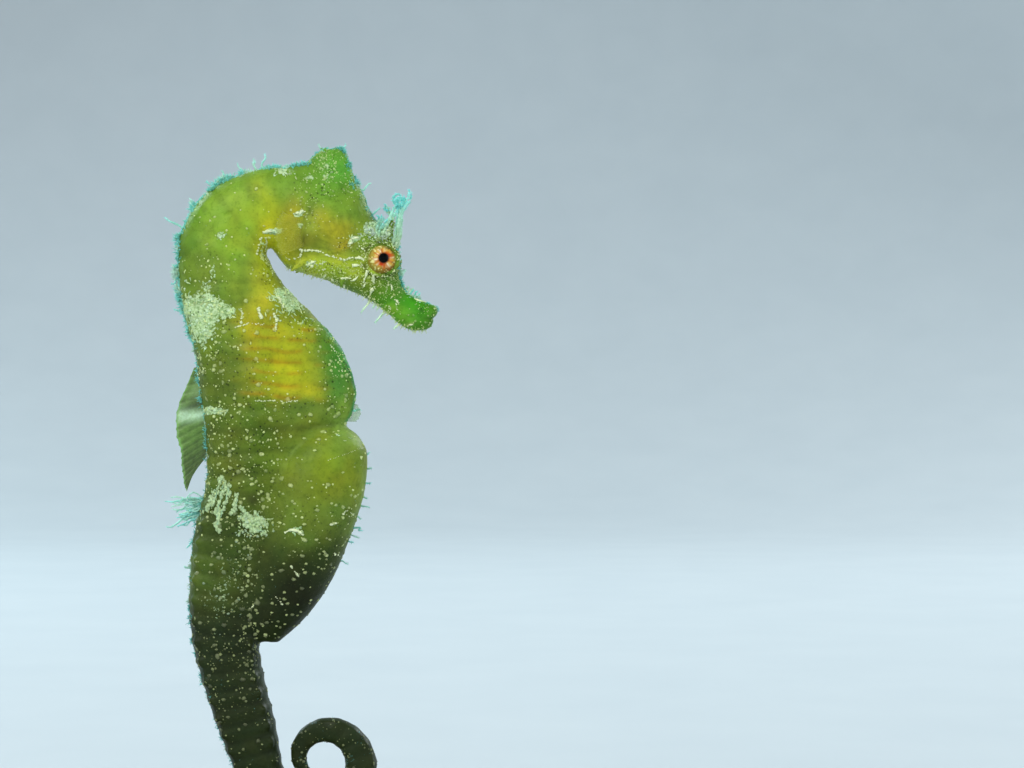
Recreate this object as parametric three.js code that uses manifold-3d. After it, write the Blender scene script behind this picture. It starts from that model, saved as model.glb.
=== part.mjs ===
// A short-snouted seahorse, life size, as a still display model on a plain stand.
// Millimetres. +Z is up, +X is the way the animal faces, and Y = 0 is its plane of symmetry.
// The origin is the middle of the stand's underside.
//
// The body is one long form. Each station is a chord across it, from the dorsal outline to the
// ventral outline, with the half width there. A section is a superellipse round that chord, with a
// low ridge at each row of tubercles, and the rings are the sections' own swelling and shrinking.

import * as THREE from "three";
import Module from "manifold-3d";
import { mergeVertices } from "three/addons/utils/BufferGeometryUtils.js";

const wasm = await Module();
wasm.setup();

// ---------------------------------------------------------------- driving dimensions

const GAP = 0.3; // clear space between two neighbouring pieces
const WELD = 0.006; // edges shorter than this are closed up where pieces are joined or cut
const FIN_THICKNESS = 0.55;
const FILAMENT_RADIUS = 0.3; // of a skin filament at its root

const BASE = { radius: 30, height: 7, bevel: 1.2 };
const ROD = { radius: 1.1, topRadius: 1.9, cradle: 2.6, collarRadius: 2.7, collarHeight: 1.6 };
const ROD_PLACES = { rear: -3.4, front: 7.6 }; // along X
const ROD_REACH = 23; // height that the rods would have before the tail is cut out of them

const EYE = { x: 12.1, z: 91.95, y: 2.6, radius: 1.6 };
const ORBIT = { root: 0.8, outer: 2.3, rim: 1.95, reach: 3.7 }; // root and reach are along Y
const OPERCULUM = { x: 6.4, z: 93.6, y: 2.6, radii: [3.5, 2.5, 3.4] };

const TRUNK_RINGS = 11;
const TAIL_RINGS = 37;
const RING_RELIEF = 0.14; // how far a ring stands above the groove beside it
const TUBERCLE = 0.4; // extra height of a ring where it crosses a ridge

// ---------------------------------------------------------------- the body's stations

// [dorsal x, dorsal z, ventral x, ventral z, half width], from inside the head to the bent tail.
const HAND_STATIONS = [
  [2.9, 104.7, 0.3, 93.1, 3.1], // inside the head
  [0.0, 104.2, -1.7, 93.7, 3.3], // nape
  [-3.4, 104.0, -2.6, 93.9, 3.4],
  [-7.3, 102.8, -2.9, 93.6, 3.5],
  [-10.8, 100.8, -3.0, 93.1, 3.6], // top of the neck's arch
  [-13.0, 98.0, -2.9, 92.4, 3.7],
  [-14.4, 94.7, -2.5, 91.7, 3.8],
  [-14.5, 91.3, -1.8, 90.4, 4.0],
  [-14.2, 87.5, 0.0, 88.0, 4.3], // shoulder
  [-13.4, 83.6, 3.9, 84.1, 4.7],
  [-12.3, 80.0, 6.9, 80.4, 5.1],
  [-11.8, 75.8, 8.6, 75.8, 5.3], // deepest trunk
  [-11.3, 72.6, 8.5, 73.2, 5.2],
  [-10.9, 69.7, 7.3, 70.6, 5.0], // vent
  [-10.8, 66.7, 4.5, 67.6, 4.6], // tail, behind the pouch
  [-10.8, 63.7, 2.3, 64.2, 4.4],
  [-11.4, 60.5, 0.5, 60.6, 4.2],
  [-12.5, 55.9, -1.4, 55.0, 3.9],
  [-12.9, 51.4, -2.9, 49.8, 3.7],
  [-13.0, 46.5, -3.8, 45.4, 3.5],
  [-12.4, 41.4, -3.9, 41.4, 3.3],
  [-10.8, 35.6, -3.1, 36.8, 3.15],
  [-9.0, 30.4, -1.9, 32.1, 2.95],
];
const NECK_START = 0;
const SHOULDER = 8;
const VENT = 13;

// The coil is a spiral whose radius and thickness shrink by the same share for each turn.
const COIL = {
  x: 4.2,
  z: 27.1,
  radius: 8.0,
  startAngle: 194.4,
  turn: 450,
  stations: 15,
  shrink: 0.163, // per radian
  halfDepth: 2.95,
  halfWidth: 2.45,
  tipShare: 0.11, // the tip's thickness as a share of the coil's first
};

function coilStation(share) {
  const swept = THREE.MathUtils.degToRad(COIL.turn * share);
  const angle = THREE.MathUtils.degToRad(COIL.startAngle) + swept;
  const r = COIL.radius * Math.exp(-COIL.shrink * swept);
  const taper = COIL.tipShare + (1 - COIL.tipShare) * Math.pow(1 - share, 0.85);
  const half = COIL.halfDepth * taper;
  const at = (reach) => [COIL.x + reach * Math.cos(angle), COIL.z + reach * Math.sin(angle)];
  return [...at(r + half), ...at(r - half), COIL.halfWidth * taper];
}

const stations = [...HAND_STATIONS];
for (let i = 0; i < COIL.stations; i++) stations.push(coilStation(i / (COIL.stations - 1)));
const LAST = stations.length - 1;
const COIL_START = HAND_STATIONS.length;

const smoothCurve = (points) => new THREE.CatmullRomCurve3(points, false, "catmullrom", 0.5);
const dorsalLine = smoothCurve(stations.map(([x, z]) => new THREE.Vector3(x, 0, z)));
const ventralLine = smoothCurve(stations.map(([, , x, z]) => new THREE.Vector3(x, 0, z)));
const widthLine = smoothCurve(stations.map(([, , , , w], i) => new THREE.Vector3(i, w, 0)));

const clamp01 = (t) => Math.min(1, Math.max(0, t));
const smoothstep = (a, b, t) => {
  const s = clamp01((t - a) / (b - a));
  return s * s * (3 - 2 * s);
};

// ---------------------------------------------------------------- rings along the body

const ARC_STEPS = 12 * LAST;
const middle = (u) => {
  const t = u / LAST;
  return dorsalLine.getPoint(t).lerp(ventralLine.getPoint(t), 0.5);
};
const arcLengths = [0];
for (let i = 1; i <= ARC_STEPS; i++) {
  const step = middle((i * LAST) / ARC_STEPS).distanceTo(middle(((i - 1) * LAST) / ARC_STEPS));
  arcLengths.push(arcLengths[i - 1] + step);
}
const arcAt = (u) => {
  if (u >= LAST) return arcLengths[ARC_STEPS];
  const f = (u / LAST) * ARC_STEPS;
  const i = Math.floor(f);
  return THREE.MathUtils.lerp(arcLengths[i], arcLengths[i + 1], f - i);
};

const FIRST_RING = 2.5; // station where the ring behind the head begins
// Ring number at station u: 0 behind the head, TRUNK_RINGS at the vent, then the tail's rings,
// which grow shorter towards its tip.
function ringAt(u) {
  const head = arcAt(FIRST_RING);
  const vent = arcAt(VENT);
  const s = arcAt(u);
  if (s <= vent) return (TRUNK_RINGS * (s - head)) / (vent - head);
  const t = (s - vent) / (arcAt(LAST) - vent);
  return TRUNK_RINGS + TAIL_RINGS * (0.72 * t + 0.28 * t * t);
}

// The station of each ring's groove and crest, between two stations.
function ringStations(from, to, perRing) {
  const found = [from];
  const fine = 40;
  let last = Math.floor(ringAt(from) * perRing);
  for (let i = 1; i < (to - from) * fine; i++) {
    const u = from + i / fine;
    const now = Math.floor(ringAt(u) * perRing);
    if (now > last) found.push(u);
    last = now;
  }
  if (to - found[found.length - 1] < 0.12 && found.length > 1) found.pop();
  return [...found, to];
}

// ---------------------------------------------------------------- the body's section

const RIDGES = { superior: 40, lateral: 88, inferior: 140 }; // degrees from the back

// A point of the section at station u. turn is 0 at the back, half a circle at the belly.
function bodyPoint(u, turn, offset) {
  const t = u / LAST;
  const d = dorsalLine.getPoint(t);
  const v = ventralLine.getPoint(t);
  const w = widthLine.getPoint(t).y;
  const trunk = smoothstep(5, 9, u) * (1 - smoothstep(VENT - 0.5, VENT + 3, u));
  const tail = smoothstep(VENT, VENT + 4, u);
  const widest = 0.5 - 0.08 * trunk; // share of the depth, from the back
  const backShape = 2.1 + 0.5 * trunk + 0.7 * tail; // superellipse exponents
  const bellyShape = 2.0 - 0.42 * trunk + 0.8 * tail;
  const depth = d.distanceTo(v);
  const up = d.clone().sub(v).normalize();
  const axis = d.clone().lerp(v, widest);
  const c = Math.cos(turn);
  const s = Math.sin(turn);
  const power = 2 / (c >= 0 ? backShape : bellyShape);
  const along = Math.sign(c) * Math.pow(Math.abs(c), power);
  const across = Math.sign(s) * Math.pow(Math.abs(s), power);
  const half = (c >= 0 ? widest : 1 - widest) * depth;

  const phase = ringAt(u) - Math.floor(ringAt(u));
  const crest = ringAt(u) > 0 ? 0.5 - 0.5 * Math.cos(2 * Math.PI * phase) : 0;
  const size = Math.min(1, w / 3.4);
  const angle = Math.abs(THREE.MathUtils.radToDeg(Math.atan2(s, c)));
  const near = (ridge, spread) => Math.exp(-(((angle - ridge) / spread) ** 2));
  const ridge =
    near(RIDGES.superior + 5 * tail, 11) +
    near(RIDGES.lateral, 9) * (1 - tail) +
    near(RIDGES.inferior - 5 * tail, 11);
  const relief = size * crest * (RING_RELIEF + TUBERCLE * ridge) + offset;
  return axis
    .addScaledVector(up, along * (half + relief))
    .add(new THREE.Vector3(0, across * (w + relief), 0));
}

function bodySection(u, count, offset = 0) {
  return Array.from({ length: count }, (_, i) => bodyPoint(u, (2 * Math.PI * i) / count, offset));
}

// ---------------------------------------------------------------- meshes and solids

// A closed mesh through sections of equal count, each end closed by a fan round its middle.
function loft(sections) {
  const n = sections[0].length;
  const middleOf = (s) => s.reduce((sum, p) => sum.add(p), new THREE.Vector3()).divideScalar(n);
  const middles = sections.map(middleOf);
  const spoke = (i) => sections[0][i].clone().sub(middles[0]);
  const onward = middles[1].clone().sub(middles[0]);
  const turnsRight = spoke(0).cross(spoke(Math.floor(n / 4))).dot(onward) > 0;
  const rows = turnsRight ? sections : sections.map((s) => [...s].reverse());
  const points = [...rows.flat(), middles[0], middles[middles.length - 1]];
  const first = rows.length * n;
  const index = [];
  for (let i = 0; i < n; i++) {
    const j = (i + 1) % n;
    for (let k = 0; k + 1 < rows.length; k++) {
      const [a, b, c, d] = [k * n + i, k * n + j, (k + 1) * n + j, (k + 1) * n + i];
      index.push(a, b, c, a, c, d);
    }
    index.push(first, j, i);
    index.push(first + 1, (rows.length - 1) * n + i, (rows.length - 1) * n + j);
  }
  return new THREE.BufferGeometry().setFromPoints(points).setIndex(index);
}

function solid(geometry) {
  const bare = geometry.clone();
  bare.deleteAttribute("normal");
  bare.deleteAttribute("uv");
  const merged = mergeVertices(bare, 1e-4);
  const mesh = new wasm.Mesh({
    numProp: 3,
    vertProperties: new Float32Array(merged.attributes.position.array),
    triVerts: new Uint32Array(merged.index.array),
    tolerance: WELD,
  });
  return new wasm.Manifold(mesh);
}

function geometryOf(made) {
  const mesh = made.getMesh();
  const position = new THREE.BufferAttribute(new Float32Array(mesh.vertProperties), 3);
  const geometry = new THREE.BufferGeometry().setAttribute("position", position);
  return geometry.setIndex(new THREE.BufferAttribute(new Uint32Array(mesh.triVerts), 1));
}

// The biggest and the lowest piece that is left of a cut solid.
const mainPiece = (made) => made.decompose().sort((a, b) => b.volume() - a.volume())[0];
const lowestOf = (made) => made.boundingBox().min[2];
const lowestPiece = (made) => made.decompose().sort((a, b) => lowestOf(a) - lowestOf(b))[0];

const joined = (solids) => solids.reduce((a, b) => a.add(b));
const without = (made, ...cutters) => cutters.reduce((left, cutter) => left.subtract(cutter), made);

// A prism through the whole width, over an outline in the plane of symmetry.
function prism(outline) {
  const reach = 40;
  const shape = new THREE.Shape(outline.map(([x, z]) => new THREE.Vector2(x, z)));
  const block = new THREE.ExtrudeGeometry(shape, { depth: 2 * reach, bevelEnabled: false });
  return solid(block.rotateX(Math.PI / 2).translate(0, reach, 0));
}

// Everything on the left of a cut from p to q, starting half a gap away from it.
function leftOf([[px, pz], [qx, qz]]) {
  const far = 60;
  const length = Math.hypot(qx - px, qz - pz);
  const [tx, tz] = [(qx - px) / length, (qz - pz) / length];
  const at = (t, n) => [px + t * tx - n * tz, pz + t * tz + n * tx];
  return prism([at(-far, GAP / 2), at(far, GAP / 2), at(far, far), at(-far, far)]);
}
const rightOf = ([p, q]) => leftOf([q, p]);

const ball = (x, y, z, rx, ry = rx, rz = rx, detail = 12) =>
  solid(
    new THREE.SphereGeometry(1, detail, Math.round(detail * 0.7))
      .rotateX(Math.PI / 2)
      .scale(rx, ry, rz)
      .translate(x, y, z),
  );

// A tapering round filament through points, with a blunt tip.
function filament(points, rootRadius, tipRadius = 0.2, sides = 5) {
  const path = points.map(([x, y, z]) => new THREE.Vector3(x, y, z));
  const rings = path.map((p, i) => {
    const next = path[Math.min(i + 1, path.length - 1)];
    const along = next.clone().sub(path[Math.max(i - 1, 0)]).normalize();
    const side = new THREE.Vector3(0.3, 1, 0.2).cross(along).normalize();
    const up = new THREE.Vector3().crossVectors(along, side);
    const r = THREE.MathUtils.lerp(rootRadius, tipRadius, i / (path.length - 1));
    return Array.from({ length: sides }, (_, k) => {
      const a = (2 * Math.PI * k) / sides;
      return p.clone().addScaledVector(side, r * Math.cos(a)).addScaledVector(up, r * Math.sin(a));
    });
  });
  return solid(loft(rings));
}

// A flat fin between its root line and its free edge, one section for each ray.
function finSheet(root, edge, place) {
  const half = FIN_THICKNESS / 2;
  const sections = root.map((r, i) => {
    const a = new THREE.Vector3(r[0], 0, r[1]);
    const b = new THREE.Vector3(edge[i][0], 0, edge[i][1]);
    const corners = [a, a.clone().lerp(b, 0.5), b];
    const near = corners.map((p) => p.clone().setY(-half));
    const far = corners.map((p) => p.clone().setY(half)).reverse();
    return [...near, ...far].map(place ?? ((p) => p));
  });
  return solid(loft(sections));
}

// ---------------------------------------------------------------- body, in lengths

const PER_RING = 2; // sections for each ring: its groove and its crest
const bodyLength = (from, to, count, offset = 0) =>
  solid(loft(ringStations(from, to, PER_RING).map((u) => bodySection(u, count, offset))));

// The station that lies half a gap before or after u, so that two lengths don't touch.
const halfGapFrom = (u, way) => {
  const span = Math.max(0.01, arcAt(Math.min(u + 0.5, LAST)) - arcAt(u - 0.5));
  return u + (way * GAP * 0.55) / span;
};

// A filament in the plane of symmetry.
const midlineFilament = ([x, z, tipX, tipZ], rootRadius = FILAMENT_RADIUS) =>
  filament([[x, 0, z], [tipX, 0, tipZ]], rootRadius);

// [root x, root z, tip x, tip z]
const NECK_FILAMENTS = [
  [-3.2, 103.7, -3.4, 105.6],
  [-4.3, 103.4, -4.9, 104.9],
  [-6.0, 102.9, -6.8, 104.2],
  [-8.5, 101.9, -8.9, 103.3],
  [-10.0, 100.9, -10.9, 102.2],
  [-12.3, 98.5, -13.2, 99.8],
  [-14.2, 95.6, -16.4, 97.4],
  [-14.2, 88.9, -15.4, 88.7],
];

// ---------------------------------------------------------------- head

// [top x, top z, bottom x, bottom z, half width, widest share, top exponent], back to front.
const HEAD_STATIONS = [
  [0.2, 104.3, -3.5, 93.8, 3.3, 0.5, 2.1], // inside the nape
  [2.1, 104.5, -2.3, 93.3, 3.5, 0.54, 2.0],
  [4.2, 104.6, -0.5, 91.0, 4.0, 0.6, 1.7],
  [6.9, 103.6, 1.7, 90.2, 4.35, 0.62, 1.6], // gill covers
  [9.2, 101.6, 4.2, 89.5, 4.35, 0.6, 1.6],
  [10.5, 98.4, 6.6, 88.4, 3.95, 0.55, 1.8],
  [12.2, 96.1, 8.8, 87.5, 3.35, 0.5, 2.1],
  [13.7, 94.0, 10.5, 86.6, 2.75, 0.45, 2.3], // eyes
  [14.1, 91.0, 11.8, 85.7, 2.15, 0.45, 2.3],
  [14.8, 88.5, 13.1, 84.6, 1.8, 0.5, 2.3], // snout
  [16.4, 87.2, 14.6, 83.3, 1.65, 0.5, 2.2],
  [17.8, 86.6, 15.9, 82.8, 1.65, 0.5, 2.2],
  [18.9, 86.1, 17.6, 82.8, 1.45, 0.5, 2.2], // lips
  [19.2, 85.4, 18.6, 83.3, 1.0, 0.5, 2.0],
];

// [rear x, rear z, front x, front z, half width], from inside the head to the crown.
const CORONET_STATIONS = [
  [1.3, 102.6, 9.4, 101.0, 2.3],
  [2.0, 104.6, 8.3, 103.3, 1.75],
  [3.1, 105.6, 7.8, 105.0, 1.4],
  [3.9, 106.1, 7.3, 106.1, 1.5],
  [4.3, 106.3, 6.9, 106.4, 1.25],
];

// A superellipse round the chord from a to b.
function chordSection(a, b, w, widest, topShape, bottomShape, count, offset = 0) {
  const depth = a.distanceTo(b);
  const up = a.clone().sub(b).normalize();
  const axis = a.clone().lerp(b, widest);
  return Array.from({ length: count }, (_, i) => {
    const turn = (2 * Math.PI * i) / count;
    const [c, s] = [Math.cos(turn), Math.sin(turn)];
    const power = 2 / (c >= 0 ? topShape : bottomShape);
    const along = Math.sign(c) * Math.pow(Math.abs(c), power);
    const across = Math.sign(s) * Math.pow(Math.abs(s), power);
    const half = (c >= 0 ? widest : 1 - widest) * depth + offset;
    return axis
      .clone()
      .addScaledVector(up, along * half)
      .add(new THREE.Vector3(0, across * (w + offset), 0));
  });
}

// A loft through such chords, refined by smooth curves.
function chordLoft(chords, perStation, count, bottomShape, offset = 0) {
  const line = (pick) => smoothCurve(chords.map(pick));
  const tops = line(([x, z]) => new THREE.Vector3(x, 0, z));
  const bottoms = line(([, , x, z]) => new THREE.Vector3(x, 0, z));
  const forms = line(([, , , , w, widest = 0.5, shape = 2]) => new THREE.Vector3(w, widest, shape));
  const steps = (chords.length - 1) * perStation;
  const sections = Array.from({ length: steps + 1 }, (_, k) => {
    const t = k / steps;
    const { x: w, y: widest, z: shape } = forms.getPoint(t);
    const [top, bottom] = [tops.getPoint(t), bottoms.getPoint(t)];
    return chordSection(top, bottom, w, widest, shape, bottomShape, count, offset);
  });
  return solid(loft(sections));
}

const NAPE_CUT = [[-2.55, 93.4], [1.7, 105.6]]; // from the throat up to the nape
const CORONET_CUT = [[1.2, 104.2], [10.2, 101.3]];
const SNOUT_CUT = [[11.0, 85.2], [14.9, 91.0]];
const JAW_CUT = [[15.3, 82.4], [18.9, 84.35]];

const headShell = (offset = 0) => chordLoft(HEAD_STATIONS, 2, 18, 2.0, offset);
const gillCover = (side, extra = 0) =>
  ball(
    OPERCULUM.x,
    side * (OPERCULUM.y - 0.6),
    OPERCULUM.z,
    ...OPERCULUM.radii.map((r) => r + extra),
  );

// The turret round an eye, and the room that its plume has to leave round it.
function orbit(side, extra = 0) {
  const outline = [
    [0, ORBIT.root],
    [ORBIT.outer + extra, ORBIT.root],
    [ORBIT.outer + extra, 0.7 * ORBIT.reach],
    [ORBIT.rim + 1.5 * extra, ORBIT.reach + extra],
    [0, ORBIT.reach + extra],
  ].map(([r, y]) => new THREE.Vector2(r, y));
  const turned = new THREE.LatheGeometry(outline, 14).rotateX(side > 0 ? 0 : Math.PI);
  return solid(turned.translate(EYE.x, 0, EYE.z));
}

// Small blunt spines of one side of the head: [root x, y, z, tip x, y, z, radius].
const HEAD_SPINES = [
  [1.9, 2.6, 91.6, 0.2, 3.2, 90.1, 0.55], // lower corner of the gill cover
  [7.0, 2.4, 89.4, 6.8, 3.0, 88.0, 0.4], // cheek
];
const HEAD_FILAMENTS = [
  [11.0, 86.7, 9.4, 84.9], // under the jaw
  [12.9, 85.2, 10.9, 83.2],
  [14.4, 83.9, 13.4, 82.4],
  [3.2, 105.2, 2.6, 106.7], // behind the coronet
];
const NOSE_SPINE = [13.4, 90.2, 15.0, 90.6];
// Tips of the blunt points round the crown.
const CORONET_POINTS = [
  [7.0, 0, 106.4],
  [6.2, 1.5, 106.3],
  [4.5, 1.4, 106.3],
  [3.8, 0, 106.4],
  [6.2, -1.5, 106.3],
  [4.5, -1.4, 106.3],
];
const CROWN_MIDDLE = [5.5, 0, 105.2];

const onSide = (side, path) => path.map(([x, y, z]) => [x, side * y, z]);
const headSpine = (side, [x, y, z, tipX, tipY, tipZ, r]) =>
  filament(onSide(side, [[x, y, z], [tipX, tipY, tipZ]]), r, 0.18);
const headSide = (side) =>
  joined([gillCover(side), orbit(side), ...HEAD_SPINES.map((spine) => headSpine(side, spine))]);

const wholeHead = joined([
  headShell(),
  chordLoft(CORONET_STATIONS, 1, 16, 2.2),
  headSide(1),
  headSide(-1),
  ...HEAD_FILAMENTS.map((ends) => midlineFilament(ends)),
  midlineFilament(NOSE_SPINE, 0.5),
  ...CORONET_POINTS.map((tip) => filament([CROWN_MIDDLE, tip], 0.75, 0.25)),
]);

const eyeball = (side, extra = 0) => ball(EYE.x, side * EYE.y, EYE.z, EYE.radius + extra);
const sockets = joined([eyeball(1, 0.85 * GAP), eyeball(-1, 0.85 * GAP)]);
const frontOfNape = wholeHead.intersect(rightOf(NAPE_CUT));
const coronet = frontOfNape.intersect(leftOf(CORONET_CUT));
const belowCoronet = frontOfNape.intersect(rightOf(CORONET_CUT)).subtract(sockets);
const head = belowCoronet.intersect(leftOf(SNOUT_CUT));
const snoutAndJaw = belowCoronet.intersect(rightOf(SNOUT_CUT));
const snout = snoutAndJaw.intersect(leftOf(JAW_CUT));
const jawCorner = prism([[15.0, 80], [15.0, 84.2], [25, 90], [25, 80]]);
const lowerJaw = snoutAndJaw.intersect(rightOf(JAW_CUT)).intersect(jawCorner);

// The plume over each eye: a stout stem that forks into knobby branches.
const PLUME = {
  stem: [[12.9, 1.75, 94.0], [13.2, 1.95, 95.6], [13.4, 2.1, 96.6]],
  branches: [
    [[13.3, 2.05, 96.1], [14.2, 2.3, 97.8], [14.4, 2.5, 98.9], [15.2, 2.7, 100.1], [15.5, 2.8, 101.0]],
    [[13.1, 1.95, 95.8], [12.9, 2.2, 97.3], [13.6, 2.5, 99.1], [13.9, 2.7, 100.5]],
    [[13.0, 2.25, 97.7], [12.3, 2.5, 99.5]],
    [[13.8, 2.6, 100.2], [14.5, 2.8, 99.8]],
  ],
};
const eyeSpine = (side) => {
  const grown = joined([
    filament(onSide(side, PLUME.stem), 0.95, 0.5, 6),
    ...PLUME.branches.map((path) => filament(onSide(side, path), 0.34, 0.2, 4)),
  ]);
  return without(grown, headShell(GAP), eyeball(side, GAP), orbit(side, GAP));
};

// ---------------------------------------------------------------- pouch and fins

// [dorsal x, dorsal z, ventral x, ventral z, half width]. The back is cut away by the tail.
const POUCH_STATIONS = [
  [3.4, 70.4, 7.6, 70.3, 1.6],
  [1.0, 69.3, 9.1, 69.0, 3.8],
  [-1.4, 67.3, 10.1, 67.1, 5.1],
  [-3.2, 63.7, 10.1, 64.0, 5.7],
  [-4.8, 59.8, 9.4, 60.3, 5.8],
  [-6.1, 55.6, 7.9, 55.9, 5.6],
  [-6.8, 51.5, 6.1, 51.5, 5.1],
  [-6.8, 47.9, 4.0, 47.9, 4.3],
  [-6.2, 45.0, 1.6, 45.0, 3.3],
  [-5.2, 42.7, -1.3, 42.4, 1.9],
];

const DORSAL_FIN = {
  root: [
    [-11.9, 77.9], [-11.5, 76.5], [-11.2, 74.9], [-10.9, 73.3], [-10.7, 71.8],
    [-10.4, 70.2], [-10.3, 68.7], [-10.7, 67.3], [-11.7, 66.4], [-12.9, 65.1],
  ],
  edge: [
    [-12.5, 77.7], [-13.4, 75.7], [-14.3, 73.6], [-14.9, 71.2], [-14.8, 69.2],
    [-14.4, 67.3], [-14.2, 65.7], [-14.0, 64.1], [-13.8, 62.8], [-13.4, 61.9],
  ],
};
const ANAL_FIN = {
  root: [[7.4, 73.6], [7.0, 72.6], [6.6, 71.8], [6.2, 71.2]],
  edge: [[9.5, 73.0], [9.7, 72.1], [9.6, 71.3], [9.1, 70.8]],
};
// The pectoral fin is a fan of rays from a short upright root behind the gill cover.
const PECTORAL_FIN = {
  x: 2.3,
  z: 95.2,
  y: 4.15,
  rootHeight: 2.6,
  reach: 3.9,
  fan: 46, // degrees
  rays: 6,
  flare: 30, // degrees away from the body
};

function pectoralFin(side) {
  const { x, z, y, rootHeight, reach, fan, rays, flare } = PECTORAL_FIN;
  const out = new THREE.Matrix4().makeRotationZ(THREE.MathUtils.degToRad(-side * flare));
  const root = [];
  const edge = [];
  for (let i = 0; i < rays; i++) {
    const share = i / (rays - 1) - 0.5;
    const angle = THREE.MathUtils.degToRad(fan * share);
    const start = rootHeight * share;
    const long = reach * (1 - 0.5 * share * share);
    root.push([0, start]);
    edge.push([-long * Math.cos(angle), start + long * Math.sin(angle)]);
  }
  return finSheet(root, edge, (p) => p.applyMatrix4(out).add(new THREE.Vector3(x, side * y, z)));
}

// ---------------------------------------------------------------- stand

function lathed(profile, segments) {
  const points = profile.map(([r, z]) => new THREE.Vector2(r, z));
  return solid(new THREE.LatheGeometry(points, segments).rotateX(Math.PI / 2));
}

const base = lathed(
  [
    [0, 0],
    [BASE.radius - BASE.bevel / 3, 0],
    [BASE.radius, BASE.bevel / 3],
    [BASE.radius, BASE.height - BASE.bevel],
    [BASE.radius - BASE.bevel, BASE.height],
    [0, BASE.height],
  ],
  32,
);

const tailRoom = bodyLength(COIL_START - 2, COIL_START + 6, 16, GAP);
const COLLAR_FOOT = BASE.height + GAP / 2;
const COLLAR_TOP = COLLAR_FOOT + ROD.collarHeight;

// A rod whose cup is cut to the tail that lies on it.
function standRod(x) {
  const foot = COLLAR_TOP + GAP / 2;
  const turned = lathed(
    [
      [0, foot],
      [ROD.radius, foot],
      [ROD.radius, ROD_REACH - 2 * ROD.cradle],
      [ROD.topRadius, ROD_REACH - 1.4 * ROD.cradle],
      [ROD.topRadius, ROD_REACH],
      [0, ROD_REACH],
    ],
    16,
  );
  return lowestPiece(turned.translate([x, 0, 0]).subtract(tailRoom));
}

function standCollar(x) {
  return lathed(
    [
      [0, COLLAR_FOOT],
      [ROD.collarRadius, COLLAR_FOOT],
      [ROD.collarRadius, COLLAR_FOOT + 0.6 * ROD.collarHeight],
      [ROD.collarRadius - 0.7, COLLAR_TOP],
      [0, COLLAR_TOP],
    ],
    20,
  ).translate([x, 0, 0]);
}

// ---------------------------------------------------------------- pieces

const COLOURS = {
  green: [0x6fa038, 0.6, 0],
  yellow: [0xa9ac24, 0.6, 0],
  olive: [0x63702a, 0.62, 0],
  brown: [0x3f4a20, 0.65, 0],
  fin: [0x6f8a48, 0.45, 0],
  filament: [0x9fd6c8, 0.6, 0],
  eye: [0xd8924a, 0.15, 0],
  wood: [0x3a2418, 0.45, 0],
  brass: [0xb08d4a, 0.3, 1],
};

const seahorse = new THREE.Group();

function piece(name, made, colour) {
  const [color, roughness, metalness] = COLOURS[colour];
  const material = new THREE.MeshStandardMaterial({ color, roughness, metalness });
  const mesh = new THREE.Mesh(geometryOf(mainPiece(made)), material);
  mesh.name = name;
  seahorse.add(mesh);
}

// The part of the body's first length that lies inside the head and its crown.
const INSIDE_HEAD = prism([
  [-2.5, 93.2],
  [1.7, 105.6],
  [3, 112],
  [30, 112],
  [30, 92],
  [1.5, 91.9],
  [-1.2, 92.9],
]);
const neckLength = bodyLength(NECK_START, halfGapFrom(SHOULDER, -1), 20).subtract(INSIDE_HEAD);
const neckFilaments = NECK_FILAMENTS.map((ends) => midlineFilament(ends));
piece("neck", joined([mainPiece(neckLength), ...neckFilaments]), "green");
piece("head", head, "green");
piece("coronet", coronet, "green");
piece("snout", snout, "green");
piece("lower_jaw", lowerJaw, "green");

const neckRoom = bodyLength(NECK_START, 4, 24, GAP);
for (const [word, side] of [["right", -1], ["left", 1]]) {
  const fin = without(pectoralFin(side), headShell(GAP), gillCover(side, GAP), neckRoom);
  piece(`eye_${word}`, eyeball(side), "eye");
  piece(`eye_spine_${word}`, eyeSpine(side), "filament");
  piece(`pectoral_fin_${word}`, fin, "fin");
}

piece("trunk", bodyLength(halfGapFrom(SHOULDER, 1), halfGapFrom(VENT, -1), 20), "yellow");

const bodyRoom = bodyLength(SHOULDER + 1, COIL_START - 1, 20, GAP);
const pouch = (offset = 0) => chordLoft(POUCH_STATIONS, 1, 20, 2.1, offset);
const dorsalFin = finSheet(DORSAL_FIN.root, DORSAL_FIN.edge);
const analFin = finSheet(ANAL_FIN.root, ANAL_FIN.edge);
piece("brood_pouch", pouch().subtract(bodyRoom), "olive");
piece("dorsal_fin", dorsalFin.subtract(bodyRoom), "fin");
piece("anal_fin", without(analFin, bodyRoom, pouch(GAP)), "fin");

const TAIL_CUTS = [VENT, 16, 19, COIL_START, COIL_START + 3, COIL_START + 6, COIL_START + 9];
TAIL_CUTS.forEach((cut, i) => {
  const isLast = i === TAIL_CUTS.length - 1;
  const to = isLast ? LAST : halfGapFrom(TAIL_CUTS[i + 1], -1);
  const sides = cut < COIL_START ? 16 : 14;
  piece(`tail_${i + 1}`, bodyLength(halfGapFrom(cut, 1), to, sides), i < 2 ? "olive" : "brown");
});

piece("stand_base", base, "wood");
for (const [name, x] of Object.entries(ROD_PLACES)) {
  piece(`stand_collar_${name}`, standCollar(x), "brass");
  piece(`stand_rod_${name}`, standRod(x), "brass");
}

export default seahorse;
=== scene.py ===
"""A seahorse as a museum model: one skin over the body, with fins, eyes, skin threads, fuzz and
pale granules on it, held by two brass rods on a walnut base.

The shapes are worked out in millimetres and turned into metres when a piece is made. +X is the
way the animal faces, +Z is up and Y = 0 is its plane of symmetry. A place that is given as a
column and a row is one of a 1024 x 768 picture that looks along +Y.
"""

import bpy
import math
import numpy as np
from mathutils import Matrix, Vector
from mathutils.bvhtree import BVHTree
from mathutils.kdtree import KDTree


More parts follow.
